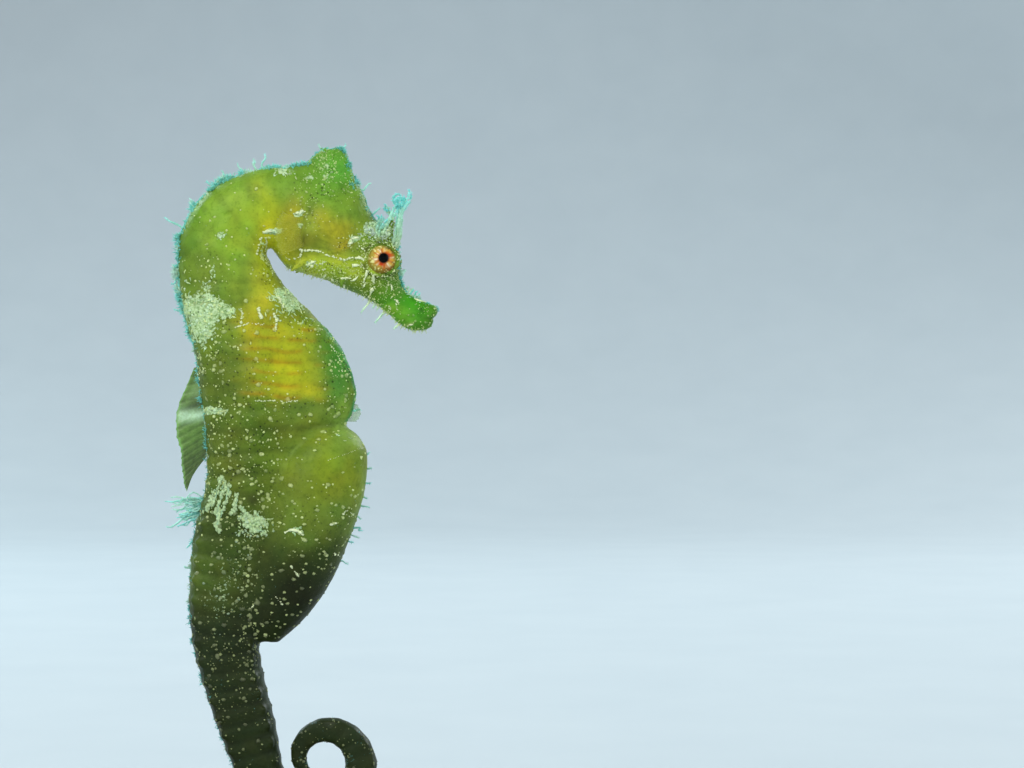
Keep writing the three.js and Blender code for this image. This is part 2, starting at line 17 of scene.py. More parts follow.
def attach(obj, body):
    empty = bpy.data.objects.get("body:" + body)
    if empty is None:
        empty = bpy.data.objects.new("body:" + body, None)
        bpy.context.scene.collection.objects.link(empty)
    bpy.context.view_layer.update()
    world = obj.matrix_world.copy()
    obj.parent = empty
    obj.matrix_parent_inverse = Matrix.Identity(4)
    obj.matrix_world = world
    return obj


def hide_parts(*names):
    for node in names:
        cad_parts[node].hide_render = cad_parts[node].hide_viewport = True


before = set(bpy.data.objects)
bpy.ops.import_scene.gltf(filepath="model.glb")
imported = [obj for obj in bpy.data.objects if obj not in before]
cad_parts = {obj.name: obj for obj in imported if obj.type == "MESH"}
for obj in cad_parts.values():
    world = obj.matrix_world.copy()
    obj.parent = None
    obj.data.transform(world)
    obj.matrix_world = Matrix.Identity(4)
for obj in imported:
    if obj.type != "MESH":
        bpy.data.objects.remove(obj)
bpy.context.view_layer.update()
rng = np.random.default_rng(11)

MM = 0.001
TURN = 2 * np.pi
VOXEL = 0.25  # the skin's mesh size
INSET = 0.12  # depth of the coat: the skin lies this far inside the solids
PIXEL = 0.13  # size of the picture's pixels at the animal
LEFT, TAIL_ROW, TAIL_HEIGHT = 290, 845, 16  # the column of x = 0, and a row with its height
CAMERA = np.array([28.86, -314.0, 75.9])
SIDES = ((-1, "right"), (1, "left"))


def at(col, row):
    """(x, z) of a place in the picture."""
    return (col - LEFT) * PIXEL, TAIL_HEIGHT + (TAIL_ROW - row) * PIXEL


def seen(points):
    """(x, z) of the places in the plane of symmetry that points of a flank are seen in front of."""
    grow = -CAMERA[1] / (-CAMERA[1] - np.abs(points[:, 1:2]))
    return CAMERA[[0, 2]] + (points[:, [0, 2]] - CAMERA[[0, 2]]) * grow


# ------------------------------------------------------------------ numbers and noise


def linear(rgb):
    c = np.asarray(rgb, float) / 255
    return np.where(c <= 0.04045, c / 12.92, ((c + 0.055) / 1.055) ** 2.4)


def smoothstep(a, b, t):
    s = np.clip((t - a) / (b - a), 0, 1)
    return s * s * (3 - 2 * s)


def mix(a, b, t):
    t = np.asarray(t)[..., None] if np.ndim(t) else t
    return a * (1 - t) + b * t


def painted(tint, *layers):
    """Colours painted over a tint one after the other, each as thickly as its share says."""
    tint = linear(tint) if isinstance(tint, tuple) else tint
    for rgb, share in layers:
        tint = mix(tint, linear(rgb), share)
    return tint


def unit(v):
    return v / np.maximum(np.linalg.norm(v, axis=-1, keepdims=True), 1e-9)


def around(count):
    """Angles in even steps round a full turn."""
    return np.arange(count) * TURN / count


def hump(away):
    """1 in the middle, falling off like a bell."""
    return np.exp(-(away**2))


NOISE_TABLE = np.random.default_rng(3).random(8192) * 2 - 1


def noise3(points, size, seed=0):
    """Smooth noise from -1 to 1, with lumps about `size` mm across."""
    p = np.asarray(points) / size + 137.3 * (seed + 1)
    cell = np.floor(p).astype(np.int64)
    f = p - cell
    f = f * f * (3 - 2 * f)
    total = 0
    for corner in range(8):
        o = [(corner >> b) & 1 for b in range(3)]
        weight = 1
        for b in range(3):
            weight = weight * (f[:, b] if o[b] else 1 - f[:, b])
        i, j, k = (cell[:, b] + o[b] for b in range(3))
        total = total + weight * NOISE_TABLE[(i * 73856093 ^ j * 19349663 ^ k * 83492791) & 8191]
    return total


def spline(points):
    """A smooth curve through the points, as a function of the point number."""
    p = np.asarray(points, float)
    padded = np.vstack([2 * p[0] - p[1], p, 2 * p[-1] - p[-2]])

    def curve(u):
        u = np.clip(np.asarray(u, float), 0, len(p) - 1)
        i = np.minimum(u.astype(int), len(p) - 2)
        w = (u - i)[..., None]
        a, b, c, d = (padded[i + k] for k in range(4))
        return b + 0.5 * w * (c - a + w * (2 * a - 5 * b + 4 * c - d + w * (3 * (b - c) + d - a)))

    return curve


# ------------------------------------------------------------------ the body's long form

# dorsal x, dorsal z, ventral x, ventral z, half width
BODY = [
    (2.9, 104.7, 0.3, 93.1, 3.1), (0.0, 104.2, -1.7, 93.7, 3.3), (-3.4, 104.0, -2.6, 93.9, 3.4),
    (-7.3, 102.8, -2.9, 93.6, 3.5), (-10.8, 100.8, -3.0, 93.1, 3.6), (-13.0, 98.0, -2.9, 92.4, 3.7),
    (-14.4, 94.7, -2.5, 91.7, 3.8), (-14.5, 91.3, -1.8, 90.4, 4.0), (-14.2, 87.5, 0.0, 88.0, 4.3),
    (-13.4, 83.6, 3.9, 84.1, 4.7), (-12.3, 80.0, 6.9, 80.4, 5.1), (-11.8, 75.8, 8.6, 75.8, 5.3),
    (-11.3, 72.6, 8.5, 73.2, 5.2), (-10.9, 69.7, 7.3, 70.6, 5.0), (-10.8, 66.7, 4.5, 67.6, 4.6),
    (-10.8, 63.7, 2.3, 64.2, 4.4), (-11.4, 60.5, 0.5, 60.6, 4.2), (-12.5, 55.9, -1.4, 55.0, 3.9),
    (-12.9, 51.4, -2.9, 49.8, 3.7), (-13.0, 46.5, -3.8, 45.4, 3.5), (-12.4, 41.4, -3.9, 41.4, 3.3),
    (-10.8, 35.6, -3.1, 36.8, 3.15), (-9.0, 30.4, -1.9, 32.1, 2.95),
]
VENT = 13
COIL_STATIONS = 15
COIL_SWEEP = 450


def coil_station(share):
    """The tail's tip is a spiral that shrinks by the same share for each turn."""
    swept = math.radians(COIL_SWEEP * share)
    angle = math.radians(194.4) + swept
    r = 8.0 * math.exp(-0.163 * swept)
    taper = 0.11 + 0.89 * (1 - share) ** 0.85
    half = 2.95 * taper
    outer, inner = r + half, r - half
    cos, sin = math.cos(angle), math.sin(angle)
    return 4.2 + outer * cos, 27.1 + outer * sin, 4.2 + inner * cos, 27.1 + inner * sin, 2.45 * taper


BODY += [coil_station(i / (COIL_STATIONS - 1)) for i in range(COIL_STATIONS)]
LAST = len(BODY) - 1
body_curve = spline(BODY)

fine_u = np.linspace(0, LAST, 12 * LAST + 1)
fine = body_curve(fine_u)
fine_middle = (fine[:, :2] + fine[:, 2:4]) / 2
fine_arc = np.concatenate([[0], np.cumsum(np.linalg.norm(np.diff(fine_middle, axis=0), axis=1))])
BODY_LENGTH = fine_arc[-1]


def arc_at(u):
    return np.interp(u, fine_u, fine_arc)


def u_at(arc):
    return np.interp(arc, fine_arc, fine_u)


def ring_at(u):
    """Ring number: 0 behind the head, 11 at the vent, 48 at the tail's tip."""
    head, vent, s = arc_at(2.5), arc_at(VENT), arc_at(u)
    t = (s - vent) / (BODY_LENGTH - vent)
    return np.where(s <= vent, 11 * (s - head) / (vent - head), 11 + 37 * (0.72 * t + 0.28 * t * t))


def superellipse(turn, top, bottom):
    c, s = np.cos(turn), np.sin(turn)
    power = 2 / np.where(c >= 0, top, bottom)
    return np.sign(c) * np.abs(c) ** power, np.sign(s) * np.abs(s) ** power


def body_points(u, turn):
    """Points of the body's surface. turn is 0 at the back and half a circle at the belly."""
    u, turn = np.broadcast_arrays(u, turn)
    st = body_curve(u)
    d, v, w = st[..., :2], st[..., 2:4], st[..., 4]
    trunk = smoothstep(5, 9, u) * (1 - smoothstep(VENT - 0.5, VENT + 3, u))
    tail = smoothstep(VENT, VENT + 4, u)
    widest = 0.5 - 0.08 * trunk
    along, across = superellipse(turn, 2.1 + 0.5 * trunk + 0.7 * tail, 2.0 - 0.42 * trunk + 0.8 * tail)
    depth = np.linalg.norm(d - v, axis=-1)
    up = (d - v) / depth[..., None]
    axis = d + (v - d) * widest[..., None]
    half = np.where(np.cos(turn) >= 0, widest, 1 - widest) * depth
    ring = ring_at(u)
    crest = np.where(ring > 0, (0.5 - 0.5 * np.cos(TURN * ring)) ** 1.6, 0)
    angle = np.abs(np.degrees(np.arctan2(np.sin(turn), np.cos(turn))))

    def near(row, spread):
        return hump((angle - row) / spread)

    ridge = near(40 + 5 * tail, 8) + near(88, 7) * (1 - tail) + near(140 - 5 * tail, 8) * (1 - 0.6 * trunk)
    size = np.minimum(1, w / 3.4) * (0.2 + 0.3 * smoothstep(6, 9, u) + 0.5 * smoothstep(VENT, VENT + 3, u))
    lift = size * (crest * (0.15 + 0.42 * ridge) + 0.08 * ridge) - INSET
    along, across = along * (half + lift), across * (w + lift)
    flat = axis + up * along[..., None]
    return np.stack([flat[..., 0], across, flat[..., 1]], axis=-1)


# ------------------------------------------------------------------ head and pouch

# top x, top z, bottom x, bottom z, half width, widest share, top exponent
HEAD = [
    (0.2, 104.3, -3.5, 93.8, 3.3, 0.5, 2.1), (2.1, 104.5, -2.3, 93.3, 3.5, 0.54, 2.0),
    (4.2, 104.6, -0.5, 91.0, 4.0, 0.6, 1.7), (6.9, 103.6, 1.7, 90.2, 4.35, 0.62, 1.6),
    (9.2, 101.6, 4.2, 89.5, 4.35, 0.6, 1.6), (10.5, 98.4, 6.6, 88.4, 3.95, 0.55, 1.8),
    (12.2, 96.1, 8.8, 87.5, 3.35, 0.5, 2.1), (13.7, 94.0, 10.5, 86.6, 2.75, 0.45, 2.3),
    (14.1, 91.0, 11.8, 85.7, 2.15, 0.45, 2.3), (14.8, 88.5, 13.1, 84.6, 1.8, 0.5, 2.3),
    (16.4, 87.2, 14.6, 83.3, 1.65, 0.5, 2.2), (17.8, 86.6, 15.9, 82.8, 1.65, 0.5, 2.2),
    (18.9, 86.1, 17.6, 82.8, 1.45, 0.5, 2.2), (19.2, 85.4, 18.6, 83.3, 1.0, 0.5, 2.0),
]
CORONET = [
    (1.3, 102.6, 9.4, 101.0, 2.3, 0.5, 2.2), (2.0, 104.6, 8.3, 103.3, 1.75, 0.5, 2.2),
    (3.1, 105.6, 7.8, 105.0, 1.4, 0.5, 2.2), (3.9, 106.1, 7.3, 106.1, 1.5, 0.5, 2.2),
    (4.3, 106.3, 6.9, 106.4, 1.25, 0.5, 2.2),
]
POUCH = [
    (3.4, 70.4, 7.6, 70.3, 1.6, 0.5, 2.0), (1.0, 69.3, 9.1, 69.0, 3.8, 0.5, 2.0),
    (-1.4, 67.3, 10.1, 67.1, 5.1, 0.5, 2.0), (-3.2, 63.7, 10.1, 64.0, 5.7, 0.5, 2.0),
    (-4.8, 59.8, 9.4, 60.3, 5.8, 0.5, 2.0), (-6.1, 55.6, 7.9, 55.9, 5.6, 0.5, 2.0),
    (-6.8, 51.5, 6.1, 51.5, 5.1, 0.5, 2.0), (-6.8, 47.9, 4.0, 47.9, 4.3, 0.5, 2.0),
    (-6.2, 45.0, 1.6, 45.0, 3.3, 0.5, 2.0), (-5.2, 42.7, -1.3, 42.4, 1.9, 0.5, 2.0),
]
EYE = np.array([12.1, 2.62, 91.9])


def chord_form(stations, bottom):
    """The form through such stations, as a function of the station number and the turn."""

    def points(u, turn):
        u, turn = np.broadcast_arrays(u, turn)
        st = spline(stations)(u)
        top, low, w, widest, shape = st[..., :2], st[..., 2:4], st[..., 4], st[..., 5], st[..., 6]
        along, across = superellipse(turn, shape, bottom)
        depth = np.linalg.norm(top - low, axis=-1)
        up = (top - low) / depth[..., None]
        axis = top + (low - top) * widest[..., None]
        half = np.where(np.cos(turn) >= 0, widest, 1 - widest) * depth - INSET
        flat = axis + up * (along * half)[..., None]
        return np.stack([flat[..., 0], across * (w - INSET), flat[..., 1]], axis=-1)

    return points


# each part's last station and its form
PARTS = {
    "body": (LAST, body_points),
    "head": (len(HEAD) - 1, chord_form(HEAD, 2.0)),
    "coronet": (len(CORONET) - 1, chord_form(CORONET, 2.2)),
    "pouch": (len(POUCH) - 1, chord_form(POUCH, 2.1)),
}

# ------------------------------------------------------------------ mesh making


class Shapes:
    """Vertices and faces that are gathered into one mesh."""

    def __init__(self):
        self.verts, self.faces, self.count = [], [], 0

    def add(self, verts, faces):
        self.verts.append(np.asarray(verts, float).reshape(-1, 3))
        self.faces += [tuple(int(i) + self.count for i in f) for f in faces]
        self.count += len(self.verts[-1])

    def loft(self, rows):
        """A closed form through rows of points, each end closed by a fan round its middle."""
        rows = np.asarray(rows, float)
        m, n, _ = rows.shape
        faces = walls(m, n)
        ahead = (np.arange(n) + 1) % n
        faces += [(m * n, b, a) for a, b in enumerate(ahead)]
        faces += [(m * n + 1, (m - 1) * n + a, (m - 1) * n + b) for a, b in enumerate(ahead)]
        verts = np.vstack([rows.reshape(-1, 3), rows[0].mean(0), rows[-1].mean(0)])
        a, b, c = (verts[[f[q] for f in faces]] for q in range(3))
        middle = verts.mean(0)
        if np.einsum("ij,ij->", np.cross(b - a, c - a), (a + b + c) / 3 - middle) < 0:
            faces = [f[::-1] for f in faces]
        self.add(verts, faces)

    def torus(self, centre, radius, thickness, count=48, sides=12):
        """A ring that lies in the XZ plane."""
        a, b = around(count)[:, None], around(sides)[None]
        r = radius + thickness * np.cos(b)
        rows = np.stack([r * np.cos(a), thickness * np.sin(b) + 0 * a, r * np.sin(a)], -1) + centre
        self.add(rows, walls(count, sides, closed=True))

    def tube(self, path, radii, sides=8):
        path = np.asarray(path, float)
        rows = []
        for i, p in enumerate(path):
            along = path[min(i + 1, len(path) - 1)] - path[max(i - 1, 0)]
            along = along / np.linalg.norm(along)
            side = np.cross((0.3, 1, 0.2), along)
            side = side / np.linalg.norm(side)
            up = np.cross(along, side)
            a = around(sides)[:, None]
            rows.append(p + radii[i] * (np.cos(a) * side + np.sin(a) * up))
        self.loft(rows)

    def ball(self, centre, radii, rows=24, sides=32):
        a = np.linspace(0.02, np.pi - 0.02, rows)[:, None]
        b = around(sides)[None]
        unit_ball = np.stack([np.sin(a) * np.cos(b), np.sin(a) * np.sin(b), np.cos(a) + 0 * b], -1)
        self.loft(np.asarray(centre) + unit_ball * np.asarray(radii))

    def mesh(self, name, scale=1.0):
        made = bpy.data.meshes.new(name)
        made.from_pydata((np.vstack(self.verts) * scale).tolist(), [], self.faces)
        made.update()
        return made


def walls(m, n, closed=False):
    """Four-sided faces between m rows of n points. Closed: the last row meets the first as well."""
    k, i = np.meshgrid(np.arange(m if closed else m - 1), np.arange(n), indexing="ij")
    j, after = (i + 1) % n, (k + 1) % m
    return np.stack([k * n + i, k * n + j, after * n + j, after * n + i], -1).reshape(-1, 4).tolist()


def add_object(name, mesh):
    obj = bpy.data.objects.new(name, mesh)
    bpy.context.scene.collection.objects.link(obj)
    return obj


def shade_smooth(mesh):
    mesh.polygons.foreach_set("use_smooth", np.ones(len(mesh.polygons), bool))


def new_piece(name, mesh, material, slot, *replaced, smooth=True):
    """A finished piece of the model: it rides on the one body and stands for the CAD nodes named."""
    obj = add_object(name, mesh)
    mesh.materials.append(material)
    if smooth:
        shade_smooth(mesh)
    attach(obj, "root")
    if replaced:
        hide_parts(*replaced)


def read(items, field, width, kind=float):
    """One value of every vertex, edge or loop of a mesh, as rows of `width` numbers."""
    out = np.empty(width * len(items), kind)
    items.foreach_get(field, out)
    return out.reshape(-1, width)


def set_coords(mesh, points):
    mesh.vertices.foreach_set("co", np.asarray(points, float).ravel())
    mesh.update()


def set_colour(mesh, name, rgb):
    layer = mesh.color_attributes.new(name, "FLOAT_COLOR", "POINT")
    rgba = np.ones((len(rgb), 4))
    rgba[:, :3] = rgb
    layer.data.foreach_set("color", rgba.ravel())


def neighbour_mean(values):
    """Mean of each skin vertex's neighbours."""
    a, b = edges.T
    total = np.empty_like(values)
    for c in range(values.shape[1]):
        total[:, c] = np.bincount(a, values[b, c], len(values))
        total[:, c] += np.bincount(b, values[a, c], len(values))
    return total / np.maximum(degree, 1)[:, None]


def fuse(mesh, voxel):
    """One closed surface round everything in the mesh."""
    obj = add_object("fusing", mesh)
    mod = obj.modifiers.new("remesh", "REMESH")
    mod.mode = "VOXEL"
    mod.voxel_size = voxel
    depsgraph = bpy.context.evaluated_depsgraph_get()
    made = bpy.data.meshes.new_from_object(obj.evaluated_get(depsgraph))
    bpy.data.objects.remove(obj)
    return made


# ------------------------------------------------------------------ the skin's form

shapes = Shapes()
full_turn = around(96)
body_rows = u_at(np.linspace(0, BODY_LENGTH, 900))
shapes.loft(body_points(body_rows[:, None], full_turn[None]))
for part, steps in (("head", 150), ("coronet", 40), ("pouch", 120)):
    last, form = PARTS[part]
    shapes.loft(form(np.linspace(0, last, steps)[:, None], full_turn[None]))

for side, _ in SIDES:
    turret = []
    for y, r in ((0.8, 2.1), (2.0, 2.25), (2.8, 2.25), (3.05, 2.0), (3.05, 1.2)):
        circle = (r * np.cos(full_turn), 0 * full_turn, r * np.sin(full_turn))
        turret.append(np.stack(circle, -1) + (EYE[0], side * y, EYE[2]))
    shapes.loft(turret)
    shapes.torus((EYE[0], side * 3.1, EYE[2]), 2.1, 0.24)
    shapes.ball((6.4, side * 2.0, 93.6), (3.4, 2.35, 3.3))
    stalk = [(12.5, side * 1.6, 93.6), (13.0, side * 1.95, 95.6), (13.5, side * 2.2, 97.2)]
    shapes.tube(stalk, [0.8, 0.42, 0.2])
    shapes.tube([(1.9, side * 2.6, 91.6), (0.3, side * 3.2, 90.3)], [0.55, 0.16])
    shapes.tube([(7.0, side * 2.4, 89.4), (6.85, side * 2.85, 88.3)], [0.4, 0.16])
shapes.tube([(13.4, 0, 90.2), (14.8, 0, 90.55)], [0.55, 0.18])
CROWN_TIPS = [
    (6.8, 0, 106.6), (6.1, 1.35, 106.4), (4.6, 1.25, 106.4), (3.95, 0, 106.5),
    (6.1, -1.35, 106.4), (4.6, -1.25, 106.4),
]
for tip in CROWN_TIPS:
    shapes.tube([(5.5, 0, 105.2), tip], [0.75, 0.22])

skin = fuse(shapes.mesh("shapes"), VOXEL)
edges = read(skin.edges, "vertices", 2, int)
place = read(skin.vertices, "co", 3)
degree = np.bincount(edges.ravel(), minlength=len(place))
for push in 3 * (0.5, -0.52):  # evens out the voxel steps without shrinking the form
    place = place + push * (neighbour_mean(place) - place)

# ------------------------------------------------------------------ what each skin point is part of

sampled = []  # rows of position, part, station number and turn
SAMPLES = {"head": 120, "coronet": 30, "pouch": 110}
for number, (part, (last, form)) in enumerate(PARTS.items()):
    rows = body_rows if part == "body" else np.linspace(0, last, SAMPLES[part])
    u, turn = np.meshgrid(rows, around(72), indexing="ij")
    sampled.append(np.dstack([form(u, turn), np.full_like(u, number), u, turn]).reshape(-1, 6))
sampled = np.vstack(sampled)
tree = KDTree(len(sampled))
for i, p in enumerate(sampled[:, :3]):
    tree.insert(p, i)
tree.balance()
nearest = sampled[[tree.find(p)[1] for p in place]]
part_of, u_of, turn_of = nearest[:, 3].astype(int), nearest[:, 4], nearest[:, 5]


def mend_seams(points):
    """Fills the sharp inner corners where two forms meet, as skin does."""
    across = edges[part_of[edges[:, 0]] != part_of[edges[:, 1]]]
    seam = np.minimum(np.bincount(across.ravel(), minlength=len(points)), 1)[:, None].astype(float)
    for _ in range(7):
        seam = np.minimum(1, np.maximum(seam, neighbour_mean(seam)) * 1.15)
    for _ in range(26):
        points = points + 0.6 * seam * (neighbour_mean(points) - points)
    return points


place = mend_seams(place)
x, y, z = place.T
lips = 0.22 * hump((z - 84.45) / 0.36) * smoothstep(17.6, 18.7, x)
chin = 0.22 * smoothstep(84.7, 83.6, z) * smoothstep(17.4, 18.7, x)
place[:, 0] -= lips + chin
place[:, 0] += 0.12 * hump((z - 85.8) / 0.5) * smoothstep(17.9, 19.0, x)
set_coords(skin, place)

# ------------------------------------------------------------------ fine relief

normal = read(skin.vertex_normals, "vector", 3)
x, y, z = place.T
here = seen(place)


def stroke(width, *line):
    """1 on a line through picture places, falling off over `width` mm, on both flanks."""
    best = np.full(len(x), 1e9)
    line = [np.array(at(*p)) for p in line]
    for a, b in zip(line, line[1:]):
        t = np.clip(((here - a) @ (b - a)) / ((b - a) @ (b - a)), 0, 1)
        best = np.minimum(best, np.linalg.norm(here - a - t[:, None] * (b - a), axis=1))
    return hump(best / width)


def away_from(col, row):
    """Distance in mm and direction of each skin point from a place in the picture."""
    dx, dz = (here - at(col, row)).T
    return np.hypot(dx, dz), np.arctan2(dz, dx)


eye_away = np.hypot(x - EYE[0], z - EYE[2])
eye_angle = np.arctan2(z - EYE[2], x - EYE[0])
side_on = smoothstep(0.5, 1.4, np.abs(y))
on_head = part_of == 1
orbit = hump((eye_away - 2.25) / 0.45) * side_on * (x > 8)
folds = 0.7 * np.cos(17 * eye_angle + 1.5 * noise3(place, 0.8, 8)) + 1.2 * noise3(place, 0.4, 4)
lift = 0.1 * orbit * folds
lift += 0.03 * noise3(place, 0.9, 1) + 0.02 * noise3(place, 0.5, 2)
lift += 0.035 * noise3(place, 0.6, 7) * on_head

mouth = stroke(0.12, (434, 318.5), (427, 318.5), (420, 317.5)) * (x > 15.5)
jaw = stroke(0.3, (420, 317.5), (411, 317), (405, 319.5), (402, 325)) * (x > 13)
gill_slit = stroke(0.2, (310, 208), (306, 225), (303, 246))
gill_slit += stroke(0.16, (305, 214), (301.5, 229), (299, 241))
gill_slit += 0.8 * stroke(0.14, (314, 206), (311, 218), (310, 228))
gill_slit *= side_on * smoothstep(-0.5, 0.3, noise3(place, 0.7, 16))
cheek = stroke(0.3, (304, 251), (330, 256), (352, 259), (366, 260)) * side_on
gill_away, gill_angle = away_from(350, 252)
gill_x, gill_z = at(350, 252)
gill_cover = on_head * side_on * smoothstep(0.6, 1.6, gill_away) * smoothstep(5.6, 4.6, gill_away)
gill_cover = gill_cover * (z > gill_z - 0.6) * (x < gill_x + 0.8)
lift += 0.035 * gill_cover * np.cos(26 * gill_angle + 0.8 * np.sin(3 * gill_away))
lift += 0.09 * on_head * side_on * hump((away_from(334, 232)[0] - 2.45) / 0.28)
lift -= 0.12 * mouth + 0.08 * jaw + 0.1 * gill_slit - 0.1 * cheek
lift -= 0.2 * np.exp(-(((x - 13.9) ** 2 + (np.abs(y) - 0.95) ** 2 + (z - 90.4) ** 2) / 0.05))  # nostrils
lift -= 0.1 * stroke(0.3, (350, 423), (335, 425), (312, 426)) * (np.abs(y) > 0.3)
place = place + normal * lift[:, None]
set_coords(skin, place)
x, y, z = place.T

# ------------------------------------------------------------------ colour

# middle column and row, spread in columns and rows, density
SPECKLED = [
    (243, 470, 34, 120, 0.85), (262, 440, 20, 70, 0.6), (222, 355, 26, 52, 0.85), (338, 368, 18, 50, 0.9),
    (306, 330, 24, 16, 0.6), (300, 402, 50, 7, 0.7), (310, 417, 45, 5, 0.7), (318, 530, 52, 50, 0.5),
    (326, 172, 10, 20, 1.0), (326, 188, 8, 10, 0.9), (314, 205, 9, 24, 0.85), (303, 190, 14, 11, 0.6),
    (348, 190, 16, 16, 0.6), (333, 272, 38, 12, 1.0), (378, 262, 24, 26, 0.9), (390, 288, 14, 12, 0.4),
    (424, 309, 7, 6, 0.25), (262, 440, 22, 40, 1.0), (214, 270, 26, 24, 0.5), (267, 260, 8, 30, 0.8),
    (292, 318, 30, 22, 0.55), (230, 640, 30, 70, 0.6), (240, 565, 18, 46, 1.0), (345, 245, 12, 8, 0.7),
]


def speckling(points, least):
    """How thickly the animal is speckled at each place, 0 to 1."""
    dense = np.full(len(points), least)
    shown = seen(points)
    for col, row, w, h, d in SPECKLED:
        dx, dz = ((shown - at(col, row)) / (w * PIXEL, h * PIXEL)).T
        dense = np.maximum(dense, d * np.exp(-0.7 * (dx**2 + dz**2) ** 1.6))
    return dense


# colour, middle column and row, spread in columns and rows, strength
ZONES = [
    ((114, 156, 48), 300, 185, 70, 40, 1.0), ((98, 166, 56), 338, 165, 26, 22, 0.9),
    ((114, 160, 46), 205, 215, 30, 40, 0.9), ((152, 182, 56), 234, 235, 26, 42, 0.9),
    ((190, 190, 34), 264, 235, 12, 40, 0.9), ((166, 162, 24), 289, 232, 15, 28, 0.95),
    # the zone of (84, 88, 22) at column 306, row 243 is a painted shadow beside the gill slit
    ((84, 88, 22), 306, 243, 8, 8, 0.6), ((170, 165, 36), 333, 232, 18, 19, 0.95),
    # the zone of (190, 202, 64) at column 335, row 268 is painted light: it makes the cheek, which faces
    # down, paler
    ((184, 160, 34), 345, 247, 7, 5, 0.7), ((190, 202, 64), 335, 268, 42, 12, 0.95),
    ((126, 156, 44), 372, 240, 20, 22, 0.5), ((61, 151, 22), 408, 304, 34, 24, 1.0),
    ((92, 130, 40), 391, 287, 12, 12, 0.7), ((150, 184, 62), 386, 308, 13, 5, 0.6),
    ((120, 180, 56), 406, 316, 11, 8, 0.7), ((136, 190, 80), 408, 327, 7, 4, 0.6),
    ((128, 168, 50), 396, 268, 4, 10, 0.7), ((182, 182, 44), 262, 290, 14, 22, 0.85),
    ((108, 134, 42), 205, 330, 34, 60, 0.85), ((184, 184, 26), 284, 368, 37, 39, 1.0),
    ((186, 170, 24), 258, 332, 20, 20, 0.6), ((180, 180, 24), 314, 398, 13, 16, 0.7),
    ((64, 136, 46), 341, 352, 15, 48, 0.95), ((140, 174, 70), 346, 411, 6, 12, 0.9),
    ((102, 128, 46), 298, 413, 44, 11, 0.9), ((90, 108, 34), 215, 400, 38, 40, 0.85),
    ((87, 113, 27), 262, 440, 18, 52, 0.85), ((98, 106, 34), 222, 455, 22, 26, 0.6),
    ((128, 144, 30), 332, 470, 34, 38, 1.0), ((130, 162, 84), 350, 436, 20, 12, 0.7),
    # the dark zones from row 530 down are partly the tail's own brown and partly painted shade of the lower
    # tail
    ((102, 122, 42), 330, 525, 40, 24, 0.9), ((37, 53, 13), 322, 562, 32, 26, 0.8),
    ((52, 52, 18), 254, 499, 7, 6, 0.75), ((26, 30, 11), 292, 592, 44, 34, 0.97),
    ((52, 66, 22), 222, 530, 36, 44, 0.85), ((34, 44, 16), 262, 560, 24, 34, 0.6),
]
# LOW_TAIL is partly the lower tail's brown pigment and partly painted shade
LOW_TAIL, BELLY_LINES = (38, 48, 20), (166, 124, 16)

here = seen(place)
wobble = 0.9 * np.stack([noise3(place, 3.5, 5), noise3(place, 3.5, 6)], -1)
# the lower tail is painted darker: partly its own brown, partly painted shade
base = painted(np.tile(linear((110, 132, 44)), (len(x), 1)), (LOW_TAIL, smoothstep(56, 44, z)))
for rgb, col, row, w, h, strength in ZONES:
    away = (here + wobble - at(col, row)) / (np.array((w, h)) * PIXEL)
    base = painted(base, (rgb, strength * np.exp(-0.7 * (away**2).sum(1) ** 1.25)))

ring = ring_at(u_of)
on_body = part_of == 0
belly = np.exp(-(((x - at(285, 0)[0]) / 5.4) ** 4)) * smoothstep(72.5, 74.5, z) * smoothstep(86, 83, z)
lines = 0.5 - 0.5 * np.cos(TURN * (z + 0.08 * x + 0.35 * noise3(place, 2.5, 9)) / 1.5)
broken = smoothstep(-0.5, 0.2, noise3(place, 1.6, 10))
base = painted(base, (BELLY_LINES, 0.6 * belly * lines**3 * on_body * broken))
groove = np.where(on_body & (ring > 0), (0.5 + 0.5 * np.cos(TURN * ring)) ** 4, 0)
# painted shade: the flanks are darker in the grooves between the rings, twice as dark below z = 72
base = base * (1 - (0.13 + 0.13 * (z < 72)) * groove * smoothstep(1.0, 2.5, np.abs(y)))[:, None]
keel = smoothstep(0.9, 0.2, np.abs(y)) * smoothstep(3, 5, x) * (z > 71) * (z < 90) * on_body
spotty = smoothstep(-0.1, 0.35, noise3(place, 0.42, 15))
stripe = np.clip(stroke(0.3, (396, 231), (398, 250)) + stroke(0.2, (402, 200), (397, 228)), 0, 1)
# painted shadow: a thin dark line along the keel's contour, on the flanks
edge = stroke(0.17, (310, 313), (329, 331), (343.5, 351), (351.5, 370)) * smoothstep(0.8, 1.4, np.abs(y))
dot_x, dot_z = at(356.5, 180.7)
base = painted(
    base,
    # painted shade in the creases of the mouth and the gill slit
    ((36, 44, 14), np.clip(0.35 * mouth + 0.35 * gill_slit, 0, 1)),
    ((178, 190, 120), 0.6 * stroke(0.22, (405, 326), (412, 324))),
    ((26, 50, 12), 0.8 * stroke(0.16, (421, 309), (423, 312)) * side_on),
    ((96, 108, 26), 0.3 * gill_cover * (0.5 - 0.5 * np.cos(26 * gill_angle))),
    ((36, 149, 100), 0.7 * keel),
    ((62, 66, 20), 0.75 * hump((eye_away - 2.3) / 0.42) * side_on * on_head * spotty),
    ((40, 84, 22), 0.85 * stripe * (x > 12)),
    # the keel's painted shadow line
    ((30, 66, 24), 0.65 * edge),
    ((14, 18, 8), np.exp(-(((x - dot_x) ** 2 + (z - dot_z) ** 2) / 0.07))),
)
base = base * (1 + 0.14 * noise3(place, 1.9, 14)[:, None] * (1.0, 0.1, -0.6))
base[:, 2] *= 1 - 0.25 * smoothstep(0.0, 0.06, base[:, 2])
blotch = noise3(place, 2.4, 12) * 0.12 + noise3(place, 0.8, 13) * 0.12
blotch += noise3(place, 3.4, 24) * 0.14 * (z < 90)
base = np.clip(base * (1 + blotch)[:, None], 0, 1)

